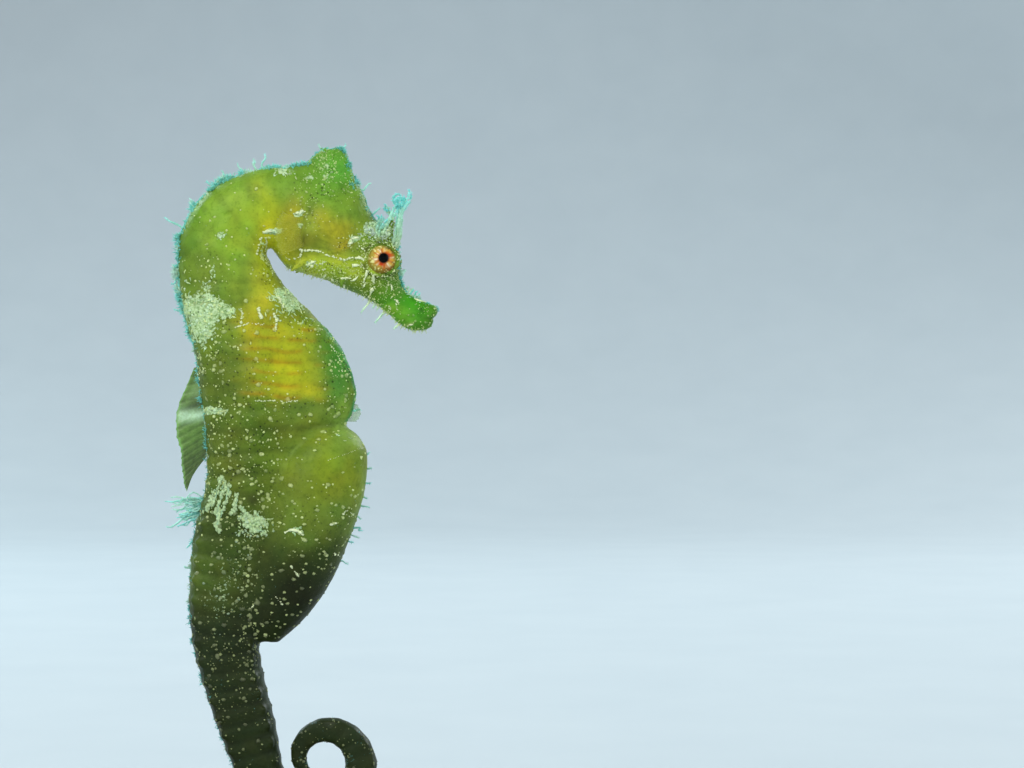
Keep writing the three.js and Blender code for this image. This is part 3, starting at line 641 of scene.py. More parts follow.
# chalky crust: middle column and row, spread in columns and rows, strength, tilt
CRUSTED = [
    (203, 308, 22, 14, 1, 0), (203, 330, 14, 16, 0.8, 0), (229, 312, 10, 8, 0.55, 0),
    (288, 300, 17, 9, 1, -0.75), (251, 521, 15, 7, 0.85, -0.35), (216, 500, 11, 20, 0.3, 0),
    (221, 236, 6, 4, 0.7, 0), (213, 271, 3, 7, 0.6, 0), (207, 287, 7, 6, 0.5, 0),
    (377, 229, 14, 8, 0.9, 0), (273, 232, 11, 3, 1, 0), (355, 240, 9, 3.5, 0.9, 0.5),
    (299, 214, 6, 3, 0.9, 0.4), (300, 226, 3.4, 3.4, 0.9, 0), (311, 264, 6, 2.6, 0.9, 0.4),
    (310, 178, 5, 3, 0.7, 0), (285, 172, 14, 4, 0.5, 0), (327, 172, 8, 16, 0.45, 0),
    (235, 570, 22, 30, 0.25, 0), (215, 600, 20, 20, 0.25, 0),
]


def patch(col, row, w, h, strength, tilt=0.0):
    dx, dz = (here - at(col, row)).T
    c, s = math.cos(tilt), math.sin(tilt)
    across, up = (dx * c + dz * s) / (w * PIXEL), (dz * c - dx * s) / (h * PIXEL)
    return strength * np.exp(-((across**2 + up**2) ** 1.3))


crust = sum(patch(*row) for row in CRUSTED)
band = smoothstep(-0.5, 0.1, noise3(place, 1.1, 23)) * smoothstep(0.2, 2.2, np.abs(y))
crust += patch(207, 411, 24, 5, 0.85) * band
crust += 0.5 * on_body * smoothstep(0.3, 0.05, np.abs(np.sin(turn_of / 2))) * smoothstep(80, 90, z)
crust = np.clip(crust, 0, 1.2)
set_colour(skin, "Tint", base)
set_colour(skin, "Marks", np.stack([crust, speckling(place, 0.0), groove], -1))

# ------------------------------------------------------------------ materials


class Look:
    """A material whose looks are worked out by nodes. An input is a number or another node's output."""

    def __init__(self, name, **shader):
        self.material = bpy.data.materials.new(name)
        self.material.use_nodes = True
        self.tree = self.material.node_tree
        self.place = self.node("TexCoord").outputs["Object"]
        self.shader(**shader)

    def put(self, socket, value):
        if isinstance(value, bpy.types.NodeSocket):
            self.tree.links.new(value, socket)
        else:
            socket.default_value = value

    def fill(self, node, settings):
        """Fills inputs of a node, whose names have _ for each space, or its properties."""
        for key, value in settings.items():
            socket = key.replace("_", " ")
            if socket in node.inputs:
                self.put(node.inputs[socket], value)
            else:
                setattr(node, key, value)
        return node

    def node(self, kind, **settings):
        return self.fill(self.tree.nodes.new("ShaderNode" + kind), settings)

    def shader(self, **settings):
        self.fill(self.tree.nodes["Principled BSDF"], settings)

    def attribute(self, name):
        return self.node("Attribute", attribute_name=name).outputs["Color"]

    def noise(self, size, detail=3.0):
        """Noise with lumps about `size` mm across."""
        scale = 1 / (size * MM)
        made = self.node("TexNoise", Scale=scale, Detail=detail, Roughness=0.55, Vector=self.place)
        return made.outputs["Fac"]

    def mixed(self, factor, a, b, blend="MIX"):
        made = self.node("Mix", data_type="RGBA", blend_type=blend)
        for number, value in ((0, factor), (6, a), (7, b)):
            self.put(made.inputs[number], (*linear(value), 1) if isinstance(value, tuple) else value)
        return made.outputs[2]

    def ramp(self, value, lo, hi):
        """0 where the value is lo, 1 where it is hi, smooth between them."""
        made = self.node("MapRange", interpolation_type="SMOOTHSTEP", Value=value, From_Min=lo, From_Max=hi)
        return made.outputs["Result"]

    def maths(self, operation, a, b):
        made = self.node("Math", operation=operation)
        self.put(made.inputs[0], a)
        self.put(made.inputs[1], b)
        return made.outputs[0]

    def times(self, a, b):
        return self.maths("MULTIPLY", a, b)

    def plus(self, a, b):
        return self.maths("ADD", a, b)

    def cells(self, size, lo, hi):
        """Round spots about `size` mm apart, 1 in their middles."""
        made = self.node("TexVoronoi", Scale=1 / (size * MM), Vector=self.place)
        return self.ramp(made.outputs["Distance"], hi, lo)

    def bump(self, height, strength, depth):
        made = self.node("Bump", Strength=strength, Distance=depth * MM, Height=height)
        self.shader(Normal=made.outputs[0])

    def soft(self, weight, radius, depth):
        """Light goes into the surface."""
        self.shader(Subsurface_Weight=weight, Subsurface_Radius=radius, Subsurface_Scale=depth * MM)


def skin_material():
    look = Look("seahorse_skin", Specular_IOR_Level=0.14)
    own = look.attribute("Tint")
    crusty, speckled = look.node("SeparateColor", Color=look.attribute("Marks")).outputs[:2]
    grain, mottle = look.noise(0.4, 4), look.noise(1.3, 4)
    times, plus = look.times, look.plus
    deeper = look.mixed(1.0, own, (160, 184, 110), "MULTIPLY")
    colour = look.mixed(times(look.ramp(mottle, 0.45, 0.7), 0.28), own, deeper)
    colour = look.mixed(times(look.ramp(grain, 0.5, 0.68), 0.32), colour, deeper)
    dark = times(look.cells(0.5, 0.14, 0.36), look.ramp(mottle, 0.4, 0.58))
    dark = times(dark, plus(times(speckled, 0.95), 0.03))
    colour = look.mixed(dark, colour, (30, 38, 10))
    pale = times(look.cells(0.36, 0.1, 0.26), times(speckled, look.ramp(grain, 0.45, 0.6)))
    colour = look.mixed(times(pale, 0.6), colour, (196, 204, 128))
    crusted = look.ramp(plus(crusty, times(grain, 1.3)), 1.02, 1.25)
    chalk = look.mixed(look.ramp(grain, 0.35, 0.62), (140, 172, 110), (206, 230, 176))
    chalk = look.mixed(times(look.cells(0.62, 0.1, 0.3), 0.8), chalk, (62, 88, 30))
    look.shader(Base_Color=look.mixed(times(crusted, 0.9), colour, chalk))
    look.shader(Roughness=plus(times(grain, 0.3), plus(times(crusted, 0.2), 0.3)))
    height = plus(grain, times(crusted, 0.8))
    look.bump(look.maths("SUBTRACT", height, times(dark, 0.6)), 0.7, 0.1)
    look.soft(0.12, (1.0, 0.8, 0.25), 0.8)
    return look.material


def tinted(name, roughness, bump_size=0.25, bump_depth=0.03, inward=0.15, alpha=1.0):
    """A material that takes its colour from the mesh, broken up by fine noise."""
    look = Look(name, Roughness=roughness, Alpha=alpha)
    own, grain = look.attribute("Tint"), look.noise(bump_size)
    darker = look.mixed(1.0, own, (226, 230, 214), "MULTIPLY")
    look.shader(Base_Color=look.mixed(look.ramp(grain, 0.3, 0.7), darker, own))
    look.bump(grain, 0.4, bump_depth)
    look.soft(inward, (1.0, 1.0, 0.8), 0.4)
    return look.material


FLESH = "head coronet snout lower_jaw eye_spine_right eye_spine_left neck trunk brood_pouch".split()
FLESH += [f"tail_{k}" for k in range(1, 8)]
skin_polygons = [tuple(p.vertices) for p in skin.polygons]
bvh = BVHTree.FromPolygons(place.tolist(), skin_polygons)
set_coords(skin, place * MM)
skin.name = "skin"
new_piece("skin", skin, skin_material(), "skin_body", *FLESH)

# ------------------------------------------------------------------ the coat's makings

AQUA = linear((124, 242, 242))
FROST = linear((210, 255, 236))
CREAM = linear((244, 255, 172))
MINT = linear((208, 246, 184))
CHALK = mix(CREAM, np.ones(3), 0.35)
HIP_TINT = linear((176, 212, 170))
UV_PATCH = 0.003
UV_BANDS = np.array([(0.02, 0.5), (0.52, 0.74), (0.76, 0.82), (0.84, 0.98)])  # one for each part
LENGTHS = np.array([BODY_LENGTH] + [last for last, _ in PARTS.values()][1:])
first_vertex = np.array([p[0] for p in skin_polygons])


def skin_at(faces):
    """Colour of the skin at each face, and the face's place on an unwrap of the animal's form."""
    v = first_vertex[np.asarray(faces, int)]
    low, high = UV_BANDS[part_of[v]].T
    along = np.where(part_of[v] == 0, arc_at(u_of[v]), u_of[v]) / LENGTHS[part_of[v]]
    turn = (turn_of[v] % TURN) / TURN
    tint = mix(base[v], MINT, 0.7 * np.clip(crust[v], 0, 1))
    return tint, np.stack([0.02 + 0.95 * along, low + (high - low) * turn], -1)


def nearest_skin(points, most_away=9.0):
    """Rows of position, normal and face: the skin nearest to each point."""
    found = [bvh.find_nearest(Vector(p)) for p in points]
    return np.array([(*hit, *n, face) for hit, n, face, away in found if away < most_away])


def on_flank(places, side):
    """Such rows for the skin of one flank that shows at each place in the picture."""
    start = Vector(CAMERA * (1, -side, 1))
    found = []
    for px, pz in np.transpose(at(*np.transpose(places))):
        hit, n, face, _ = bvh.ray_cast(start, (Vector((px, 0, pz)) - start).normalized())
        if hit is not None:
            found.append((*hit, *n, face))
    return np.reshape(found, (-1, 7))


def roots(part, u, turn):
    return nearest_skin(PARTS[part][1](u, turn), 0.3)


def scatter(part, count, first, last, line=None, spread=0.3):
    """Random places on a part, all round it or gathered along one line of its section."""
    if part == "body":
        u = u_at(rng.uniform(arc_at(first), arc_at(last), count))
    else:
        u = rng.uniform(first, last, count)
    turn = rng.uniform(0, TURN, count) if line is None else line + spread * rng.normal(size=count)
    return roots(part, u, turn)


class Coat:
    """Many small closed forms in one mesh, each with its colour and its patch of the OFBake map."""

    def __init__(self):
        self.verts, self.faces, self.tints, self.uvs, self.count = [], [], [], [], 0

    def add(self, verts, faces, tints, uv):
        """verts (k, n, 3) and tints (k, n, 3) for k copies of one form, uv (k, 2) at their roots."""
        k, n, _ = verts.shape
        offset = self.count + np.arange(k)[:, None, None] * n
        self.verts.append(verts.reshape(-1, 3))
        self.faces.append((np.asarray(faces)[None] + offset).reshape(-1, 3))
        self.tints.append(tints.reshape(-1, 3))
        spread = UV_PATCH * np.stack([np.linspace(0, 1, n), (np.arange(n) % 3) / 2], -1)
        self.uvs.append((uv[:, None] + spread[None]).reshape(-1, 2))
        self.count += k * n

    def piece(self, name, look):
        mesh = bpy.data.meshes.new(name)
        mesh.from_pydata((np.vstack(self.verts) * MM).tolist(), [], np.vstack(self.faces).tolist())
        mesh.update()
        set_colour(mesh, "Tint", np.clip(np.vstack(self.tints), 0, 1))
        layer = mesh.uv_layers.new(name="OFBake")
        corner = read(mesh.loops, "vertex_index", 1, int)[:, 0]
        layer.data.foreach_set("uv", np.vstack(self.uvs)[corner].ravel())
        new_piece(name, mesh, look, "skin_flap")


def tube_faces(joints, sides):
    """Triangles of a closed tube with `joints` rings and then a tip."""
    faces = []
    for j in range(joints - 1):
        for a in range(sides):
            b = (a + 1) % sides
            p, q, r, s = j * sides + a, j * sides + b, (j + 1) * sides + b, (j + 1) * sides + a
            faces += [(p, q, r), (p, r, s)]
    top, tip = (joints - 1) * sides, joints * sides
    faces += [(top + a, top + (a + 1) % sides, tip) for a in range(sides)]
    return faces + [(0, a + 1, a) for a in range(1, sides - 1)]


def hairs(coat, root, direction, length, radius, tint_root, tint_tip, uv, bend=0.3, joints=3, sides=3):
    """Tapered curved hairs. All arguments but the last three have one row for each hair."""
    side = unit(np.cross(direction, unit(rng.normal(size=root.shape))))
    other = np.cross(direction, side)
    verts, tints = [], []
    for t in np.linspace(0, 1, joints + 1):
        middle = root + direction * (length * t)[:, None] + side * (bend * length * t * t)[:, None]
        wide = (radius * (1 - 0.6 * t))[:, None]
        for a in around(sides) if t < 1 else ():
            verts.append(middle + (side * math.cos(a) + other * math.sin(a)) * wide)
            tints.append(mix(tint_root, tint_tip, t))
    coat.add(np.stack([*verts, middle], 1), tube_faces(joints, sides), np.stack([*tints, tint_tip], 1), uv)


def tufts(coat, found, length, radius, per_tuft, spread, pale, tip=AQUA, lie=(0, 0, 0)):
    """Little bushes of hairs from each root, leaning along `lie`, long in some clumps."""
    found = np.repeat(found, per_tuft, axis=0)
    k = len(found)
    lean = unit(found[:, 3:6] + spread * rng.normal(size=(k, 3)) + np.array(lie))
    start = found[:, :3] - 0.06 * found[:, 3:6] + 0.05 * rng.normal(size=(k, 3))
    own, uv = skin_at(found[:, 6])
    end = mix(own, tip, np.clip(pale + 0.2 * rng.normal(size=k), 0, 1))
    clump = 0.38 + 1.25 * smoothstep(0.0, 0.55, noise3(found[:, :3], 0.8, 31))
    long = length * clump * rng.uniform(0.4, 1.25, k)
    hairs(coat, start, lean, long, radius * rng.uniform(0.7, 1.2, k), mix(own, end, 0.4), end, uv)


def strand(coat, path, radii, tint_root, tint_tip, uv, sides=6, knots=0.0):
    """One strand along a smooth path, with a radius for each joint that is uneven by `knots`."""
    joints = len(radii)
    line = spline(path)(np.linspace(0, len(path) - 1, joints + 1))
    along = unit(np.gradient(line, axis=0))
    side = unit(np.cross(along, (0.31, 0.93, 0.2)))[:-1, None]
    other = np.cross(along[:-1, None], side)
    a = around(sides)[:, None]
    wide = (radii * (1 + knots * rng.uniform(-1, 1, joints)))[:, None, None]
    rings = line[:-1, None] + wide * (np.cos(a) * side + np.sin(a) * other)
    verts = np.vstack([rings.reshape(-1, 3), line[-1:]])
    shade = mix(tint_root, tint_tip, np.append(np.repeat(np.arange(joints) / joints, sides), 1))
    coat.add(verts[None], tube_faces(joints, sides), shade[None], np.atleast_2d(uv))
    return line


def domes(coat, found, radius, height, tints, stretch=1.0, sides=6):
    """Low round granules on the skin, drawn out by `stretch` across the body."""
    if not len(found):
        return
    n = found[:, 3:6]
    side = unit(np.cross(n, (0.0, 0.0, 1.0)) + 1e-6)
    up = np.cross(n, side)
    skin_tint, uv = skin_at(found[:, 6])
    tints = np.broadcast_to(tints, skin_tint.shape)
    verts, shades = [], []
    for r, h, share in ((1.0, -0.25, 0.2), (0.7, 0.6, 0.8)):
        for a in around(sides):
            spoke = side * (math.cos(a) * stretch) + up * math.sin(a)
            wide = r * radius * rng.uniform(0.6, 1.4, len(found))
            verts.append(found[:, :3] + spoke * wide[:, None] + n * (h * height)[:, None])
            shades.append(mix(skin_tint, tints, share))
    verts.append(found[:, :3] + n * height[:, None])
    coat.add(np.stack(verts, 1), tube_faces(2, sides), np.stack([*shades, tints], 1), uv)


def lying(line, side, radius, tint, lift=0.03, knots=0.35):
    """A spindle of crust that lies on one flank along picture places."""
    found = on_flank(line, side)
    if len(found) < 2:
        return
    path = found[:, :3] + lift * found[:, 3:6]
    length = np.linalg.norm(np.diff(path, axis=0), axis=1).sum()
    t = np.linspace(0.1, 0.9, int(np.clip(length / 0.24, 4, 20)))
    radii = radius * (0.45 + 0.6 * np.sin(np.pi * t))
    strand(crusts, path, radii, tint, tint, skin_at(found[:1, 6])[1], 5, knots)


# ------------------------------------------------------------------ fuzz

# part, count, first, last, line, spread, length, radius, hairs in a tuft, paleness
BACK_FUZZ = [
    ("body", 420, 1.0, 2.9, 0, 0.15, 0.38, 0.08, 4, 0.97),
    ("body", 1560, 2.6, 8.4, 0, 0.15, 0.66, 0.09, 4, 0.97),
    ("body", 330, 7.6, 10.2, 0, 0.17, 0.6, 0.085, 4, 0.95),
    ("body", 520, 9.0, 13.0, 0, 0.17, 0.5, 0.075, 3, 0.9),
    ("body", 300, 13.0, 23.0, 0, 0.22, 0.4, 0.065, 3, 0.8),
]
FINE_FUZZ = [
    ("body", 400, 13.0, 23.0, 0, 0.22, 0.4, 0.065, 3, 0.8),
    ("body", 400, 23.0, LAST - 1, None, 0, 0.2, 0.035, 2, 0.5),
    ("body", 1150, 1.5, 23.0, None, 0, 0.15, 0.028, 2, 0.35),
    ("pouch", 260, 0.5, 8.5, None, 0, 0.15, 0.03, 2, 0.4),
    ("coronet", 300, 0.6, 4.0, 0, 0.35, 0.32, 0.06, 3, 0.9),
    ("coronet", 300, 0.6, 4.0, math.pi, 0.35, 0.32, 0.06, 3, 0.9),
    ("coronet", 200, 3.4, 4.0, None, 0, 0.34, 0.06, 3, 0.9),
    ("head", 620, 3.5, 8.0, 0, 0.2, 0.4, 0.07, 3, 0.95),
    ("head", 320, 7.5, 10.5, 0, 0.22, 0.44, 0.09, 3, 0.99),
    ("head", 170, 10.5, 12.8, 0, 0.25, 0.26, 0.06, 3, 0.99),
    ("head", 480, 2.0, 12.0, None, 0, 0.13, 0.025, 2, 0.4),
]
fuzz_back, fuzz_fine, threads, grains, crusts = Coat(), Coat(), Coat(), Coat(), Coat()
for coat, table in ((fuzz_back, BACK_FUZZ), (fuzz_fine, FINE_FUZZ)):
    for part, count, first, last, line, spread, length, radius, per_tuft, pale in table:
        found = scatter(part, count, first, last, line, spread)
        frosty = noise3(found[:, :3], 1.1, 32) > (-0.2 if pale > 0.98 else 0.25)
        for tip, some in ((AQUA, ~frosty), (FROST, frosty & (pale > 0.7))):
            if some.any():
                tufts(coat, found[some], length, radius, per_tuft, 0.55, pale, tip)
# the white bush behind each eye's plume
for side in (-1, 1):
    bush = on_flank((379, 232) + rng.normal(size=(200, 2)) * (7, 5), side)
    bush = bush[np.abs(bush[:, 1]) < 3.6]
    tufts(fuzz_fine, bush, 0.36, 0.09, 3, 0.8, 0.99, mix(FROST, np.ones(3), 0.6), (0, 0, 0.3))

# ------------------------------------------------------------------ skin threads and plumes

# threads in the plane of symmetry: root column and row, tip column and row, thickness
THREADS = [
    (265, 168, 264, 154, 0.13), (257, 170, 253, 159, 0.11), (243.5, 174, 238, 164, 0.12),
    (226, 181, 221.5, 171, 0.16), (213, 189, 206.5, 180, 0.1), (195, 208, 189, 198, 0.14),
    (181, 230, 165, 217, 0.14), (181, 281, 171, 284, 0.1), (180, 315, 173, 309, 0.12),
    (322, 151, 319, 145, 0.1), (343, 150, 346, 145, 0.1), (366, 188, 372, 183.5, 0.14),
    (373, 214, 380, 209, 0.16), (398, 273.5, 406.3, 270, 0.55), (401, 286, 403.5, 282, 0.12),
    (405, 291, 409, 286.5, 0.18), (403, 289, 404.5, 284.5, 0.2), (409, 293, 412.5, 289, 0.2),
    (411, 294, 414, 289, 0.16), (407, 291.5, 409.5, 287.5, 0.15), (413, 295, 418, 291.5, 0.17),
    (400, 284, 402.5, 280.5, 0.14), (396.5, 258, 400.5, 252.5, 0.15), (397, 262, 401, 259, 0.12),
    (397, 250, 401.5, 247.5, 0.12), (417, 297, 420, 293.5, 0.12), (373, 297, 361, 313.5, 0.17),
    (389, 308, 374, 323.5, 0.18), (401, 321, 393.6, 330, 0.18), (345, 281, 343.4, 285, 0.1),
    (376, 304, 372.5, 308.5, 0.16), (379.5, 306, 377, 310, 0.15), (394, 316, 395.5, 321, 0.16),
    (387, 309, 380.5, 317, 0.14), (357, 412, 361, 410, 0.13), (365, 456, 369, 453, 0.09),
    (367, 470, 371.5, 468, 0.1), (365, 506, 370, 508, 0.1), (354, 536, 359, 538, 0.1),
    (366, 484, 371, 483, 0.1), (363, 497, 367.5, 498.5, 0.12), (356, 517, 362, 519, 0.11),
    (358, 530, 364, 530.5, 0.11), (349, 541, 354, 543, 0.1), (344, 562, 348, 564, 0.1),
    (206, 500, 163.5, 501.5, 0.16), (204, 512, 165.5, 527, 0.16), (203, 505, 176, 513, 0.12),
    (197, 540, 187, 548, 0.12), (193, 570, 184, 566, 0.12),
]
for share in rng.random(34):  # the hip's tuft
    tip = 168 + 18 * rng.random() + 9 * share, 499 + 27 * share + 1.5 * rng.normal()
    THREADS.append((204, 497 + 24 * share, *tip, rng.uniform(0.04, 0.1)))
for c0, r0, c1, r1, thick in THREADS:
    (x0, z0), (x1, z1) = at(c0, r0), at(c1, r1)
    found = nearest_skin([(x0, 0, z0)])
    own, uv = skin_at(found[:, 6])
    foot = found[0, :3] - 0.1 * found[0, 3:6]
    tip = np.array([x1, 0.25 * rng.uniform(-1, 1), z1])
    long = np.linalg.norm(tip - foot)
    under_snout = 340 < c0 < 410 and 280 < r0 < 340
    tone = mix(AQUA, FROST, 1 if thick > 0.4 else rng.uniform(0.2, 0.9))
    low = mix(own[0], tone, 0.7)
    if under_snout:
        low, tone = CHALK, mix(tone, CREAM, 0.35)
    sway = (0.05 if under_snout else 0.12) * long * rng.normal(size=3) * (1, 0.6, 1)
    path = [foot, mix(foot, tip, 0.35) + sway, mix(foot, tip, 0.7) - 0.5 * sway, tip]
    line = strand(threads, path, thick + (0.06 - thick) * np.arange(10) / 10 + 0.02, low, tone, uv, 6, 0.2)
    k = int(4 + 7 * min(long, 2.2))
    lean = unit(rng.normal(size=(k, 3)) + 0.8 * unit(tip - foot))
    pale = np.tile(tone, (k, 1))
    start = line[rng.integers(1, len(line) - 1, k)]
    long = rng.uniform(0.15, 0.45, k)
    hairs(threads, start, lean, long, np.full(k, 0.055), pale, pale, np.repeat(uv, k, 0))

# the plume over each eye: lines with their thickness at the root
PLUME = [
    ([(382, 237), (386, 228), (389.5, 220), (392.5, 212), (396, 205), (398, 202)], 0.27),
    ([(377, 240), (379, 232), (383, 225), (388, 220)], 0.2),
    ([(396, 247), (398, 236), (399, 224), (400, 213), (403, 205), (408, 198), (409.5, 191)], 0.27),
    ([(391, 246), (395, 236), (396.5, 226), (397.5, 214), (398, 207)], 0.17),
    ([(397, 207), (394, 202), (394, 197), (397.5, 194.5), (401, 196.5), (401.5, 201)], 0.17),
    ([(400, 208), (397.5, 203.5), (399.5, 199.5)], 0.15),
    ([(402, 207), (404.5, 202), (404, 198)], 0.12),
    ([(391, 214), (388.5, 210.5), (386.5, 207.5), (385.5, 205)], 0.15),
    ([(389, 211), (386.5, 210), (384.5, 208.5)], 0.1),
    ([(376, 236), (377, 228), (379, 221), (378, 216)], 0.14),
    ([(377, 224), (380, 220), (382, 216)], 0.1),
]
for side in (-1, 1):
    for line, thick in PLUME:
        path = []
        for col, row in line:
            out = 1.75 + 1.2 * np.clip((246 - row) / 50, 0, 1) + 0.15 * rng.normal()
            px, pz = CAMERA[[0, 2]] + (np.array(at(col, row)) - CAMERA[[0, 2]]) * (1 + out / CAMERA[1])
            path.append(np.array((px, side * out, pz)))
        found = nearest_skin(path[:1])
        own, uv = skin_at(found[:, 6])
        rooted = np.linalg.norm(path[0] - found[0, :3]) < 1
        if rooted:
            path[0] = mix(path[0], found[0, :3], 0.7)
        low = linear((214, 244, 196)) if rooted else AQUA
        radii = 1.15 * thick + (0.1 - 1.15 * thick) * np.arange(26) / 26
        spine = strand(threads, path, radii, mix(own[0], low, 0.7), mix(AQUA, FROST, 0.2), uv, 7, 0.6)
        k = int(30 + 200 * thick)
        pick = rng.integers(0, len(spine), k)
        lean = unit(rng.normal(size=(k, 3)) + 0.25 * unit(spine[-1] - spine[0]))
        share = (pick / len(spine))[:, None]
        tint = (low * (1 - share) + AQUA * share) * rng.uniform(0.85, 1.3, (k, 1))
        size = rng.uniform(0.05, 0.1, k)
        reach = thick * (1 - share[:, 0]) + size * rng.uniform(1.5, 5, k)
        hairs(threads, spine[pick], lean, reach, size, tint, tint, np.repeat(uv, k, 0), 0.6)

# ------------------------------------------------------------------ pale granules

# part, count, first, last, share kept where it isn't speckled, radius, stretch
GRAINS = [
    ("body", 8000, 1.5, 23.0, 0.08, 0.122, 1.0),
    ("pouch", 2400, 0.4, 8.8, 0.1, 0.13, 1.3),
    ("head", 9400, 1.0, 12.8, 0.05, 0.072, 1.0),
    ("coronet", 2400, 0.1, 3.8, 0.08, 0.062, 1.0),
    ("body", 1500, 23.0, LAST - 0.6, 0.35, 0.08, 1.0),
]


def pale_grains(found, least, size, stretch):
    """Granules on the found places, thinned by how thickly the animal is speckled there."""
    found = found[rng.random(len(found)) < speckling(found[:, :3], least)]
    k = len(found)
    own, _ = skin_at(found[:, 6])
    radius = size * np.clip(np.exp(0.6 * rng.normal(size=k)), 0.4, 2.8)
    faded = np.clip(rng.uniform(-0.1, 0.5, k) + 0.3 * (radius / size - 1), 0, 0.8)
    # painted shade: the granules grow darker from z = 64 down to z = 46, down the tail
    tint = mix(CREAM, own, faded) * (0.45 + 0.55 * smoothstep(46, 64, found[:, 2]))[:, None]
    domes(grains, found, radius, 0.75 * np.minimum(radius, 0.13), tint, stretch)


for part, count, first, last, least, size, stretch in GRAINS:
    pale_grains(scatter(part, count, first, last), least, size, stretch)
rings = np.repeat(np.arange(1, 30) + 0.5, 26)
rings = rings + 0.06 * rng.normal(size=len(rings))
crest_u = np.interp(rings, ring_at(fine_u[40:]), fine_u[40:])
pale_grains(roots("body", crest_u, rng.uniform(0, TURN, len(crest_u))), 0.25, 0.12, 1.3)

for k, row in enumerate(np.arange(3.4, 8.9, 0.52)):  # beads in rows on the pouch
    turns = np.arange(0.3 + 0.2 * (k % 2), TURN, 0.4)
    turns = turns + 0.07 * rng.normal(size=len(turns))
    beads = roots("pouch", row + 0.09 * rng.normal(size=len(turns)), turns)
    own, _ = skin_at(beads[:, 6])
    size = rng.uniform(0.1, 0.24, len(beads))
    faded = rng.uniform(0.1, 0.6, len(beads)) + 0.2 * smoothstep(64, 52, beads[:, 2])
    domes(grains, beads, size, 0.45 * size, mix(CREAM, own, faded), 1.3, 8)

for side in (-1, 1):  # beads round each eye
    q = rng.uniform(0, TURN, 90)
    off = 2.0 + 0.32 * np.abs(rng.normal(size=90))
    ring_of_beads = np.stack([off * np.cos(q), 0 * q + side * 3.5, off * np.sin(q)], -1)
    beads = nearest_skin(EYE * (1, 0, 1) + ring_of_beads)
    size = rng.uniform(0.035, 0.12, 90)
    domes(grains, beads, size, size, mix(CREAM, np.ones(3), 0.2))

stubble = scatter("head", 260, 2.0, 12.0, math.pi, 0.4)
own, uv = skin_at(stubble[:, 6])
tips = mix(CREAM, own, rng.uniform(0, 0.5, len(own)))
lean = unit(stubble[:, 3:6] + 0.4 * rng.normal(size=(len(own), 3)))
size = rng.uniform(0.04, 0.09, len(own))
long = 5.8 * size * rng.uniform(0.6, 1.5, len(own))
hairs(grains, stubble[:, :3] - 0.05 * lean, lean, long, size, tips, tips, uv)

# ------------------------------------------------------------------ crusts and drawn marks

# middle column and row, spread in columns and rows, tilt, count, length in columns, radius
CRUSTS = [
    (203, 306, 14, 8, 0.3, 60, 5, 0.1), (202, 326, 9, 12, 1.4, 44, 5, 0.1),
    (205, 345, 7, 8, 1.5, 16, 5, 0.09), (229, 311, 7, 5, 0.4, 12, 5, 0.1),
    (285, 296, 13, 6, 0.85, 170, 7, 0.08), (293, 306, 9, 5, 0.85, 80, 6, 0.075),
    (306, 319, 8, 5, 0.85, 16, 5, 0.06), (275, 313, 8, 8, 1.3, 22, 5, 0.09),
    (221, 236, 5, 3, 0.3, 12, 3, 0.08), (213, 271, 2.5, 7, 1.4, 12, 3, 0.07),
    (206, 287, 6, 5, 0.3, 12, 3, 0.07), (205, 411, 18, 2.5, 0, 26, 6, 0.12),
    (251, 521, 13, 6, 0.5, 64, 3.4, 0.085), (244, 534, 13, 4, 1.4, 26, 4, 0.08),
    (262, 531, 6, 4, 1.2, 16, 4, 0.09), (213, 502, 10, 16, 1.2, 12, 4, 0.09),
    (294, 531, 8, 2.5, 0.2, 12, 6, 0.13), (376, 230, 9, 5, 0.2, 90, 4, 0.1),
    (388, 238, 8, 5, 1, 26, 4, 0.09), (272, 232, 7, 1.6, 0, 18, 5, 0.11),
    (264, 246, 2.5, 12, 1.4, 18, 4, 0.09), (355, 240, 6, 2.5, -0.6, 22, 4, 0.09),
    (299, 214, 3.5, 1.6, 0.2, 10, 4, 0.09), (311, 264, 3.5, 1.4, -0.3, 9, 4, 0.09),
    (290, 174, 14, 2, 0.1, 24, 4, 0.08), (236, 566, 12, 24, 1.3, 14, 2.4, 0.07),
    (222, 612, 14, 26, 1.2, 24, 4, 0.08), (187, 297, 4, 18, 1.4, 26, 5, 0.1),
    (345, 437, 14, 5, 0.3, 8, 4, 0.07),
]
for col, row, w, h, tilt, count, length, radius in CRUSTS:
    # painted shade: the crusts are duller down the tail, which lies in shade
    shade = 1 if row < 500 else 0.8 if row < 545 else 0.55  # duller down the tail
    for side in (-1, 1):
        spots = (col, row) + 0.7 * rng.normal(size=(count, 2)) * (w, h)
        spots = spots[noise3(np.column_stack([spots, np.full(count, side)]), 5, 21) > -0.25]
        lumpy = rng.random(len(spots)) < 0.45
        lumps = on_flank(spots[lumpy], side)
        if len(lumps):
            own, _ = skin_at(lumps[:, 6])
            size = radius * rng.uniform(0.8, 2.6, len(lumps))
            tint = mix(mix(MINT, np.ones(3), 0.3), own, rng.uniform(0, 0.35, len(lumps)))
            domes(crusts, lumps, size, 0.6 * size, shade * tint, 1.1, 7)
        for c, r in spots[~lumpy]:
            heading = tilt + 0.7 * rng.normal() + 0.9 * rng.normal() * np.arange(3) / 2
            step = length / 3 * rng.uniform(0.5, 1.2, 3)
            steps = np.vstack([(c, r), np.stack([step * np.cos(heading), step * np.sin(heading)], -1)])
            light = 0.72 + 0.34 * smoothstep(-0.3, 0.4, noise3(np.array([[c, r, side]]), 7, 22)[0])
            tint = shade * light * rng.uniform(0.75, 1.05) * mix(MINT, CREAM, rng.uniform(0, 0.8))
            lying(np.cumsum(steps, axis=0), side, radius * rng.uniform(0.6, 1.2), tint, 0.02, 0.3)

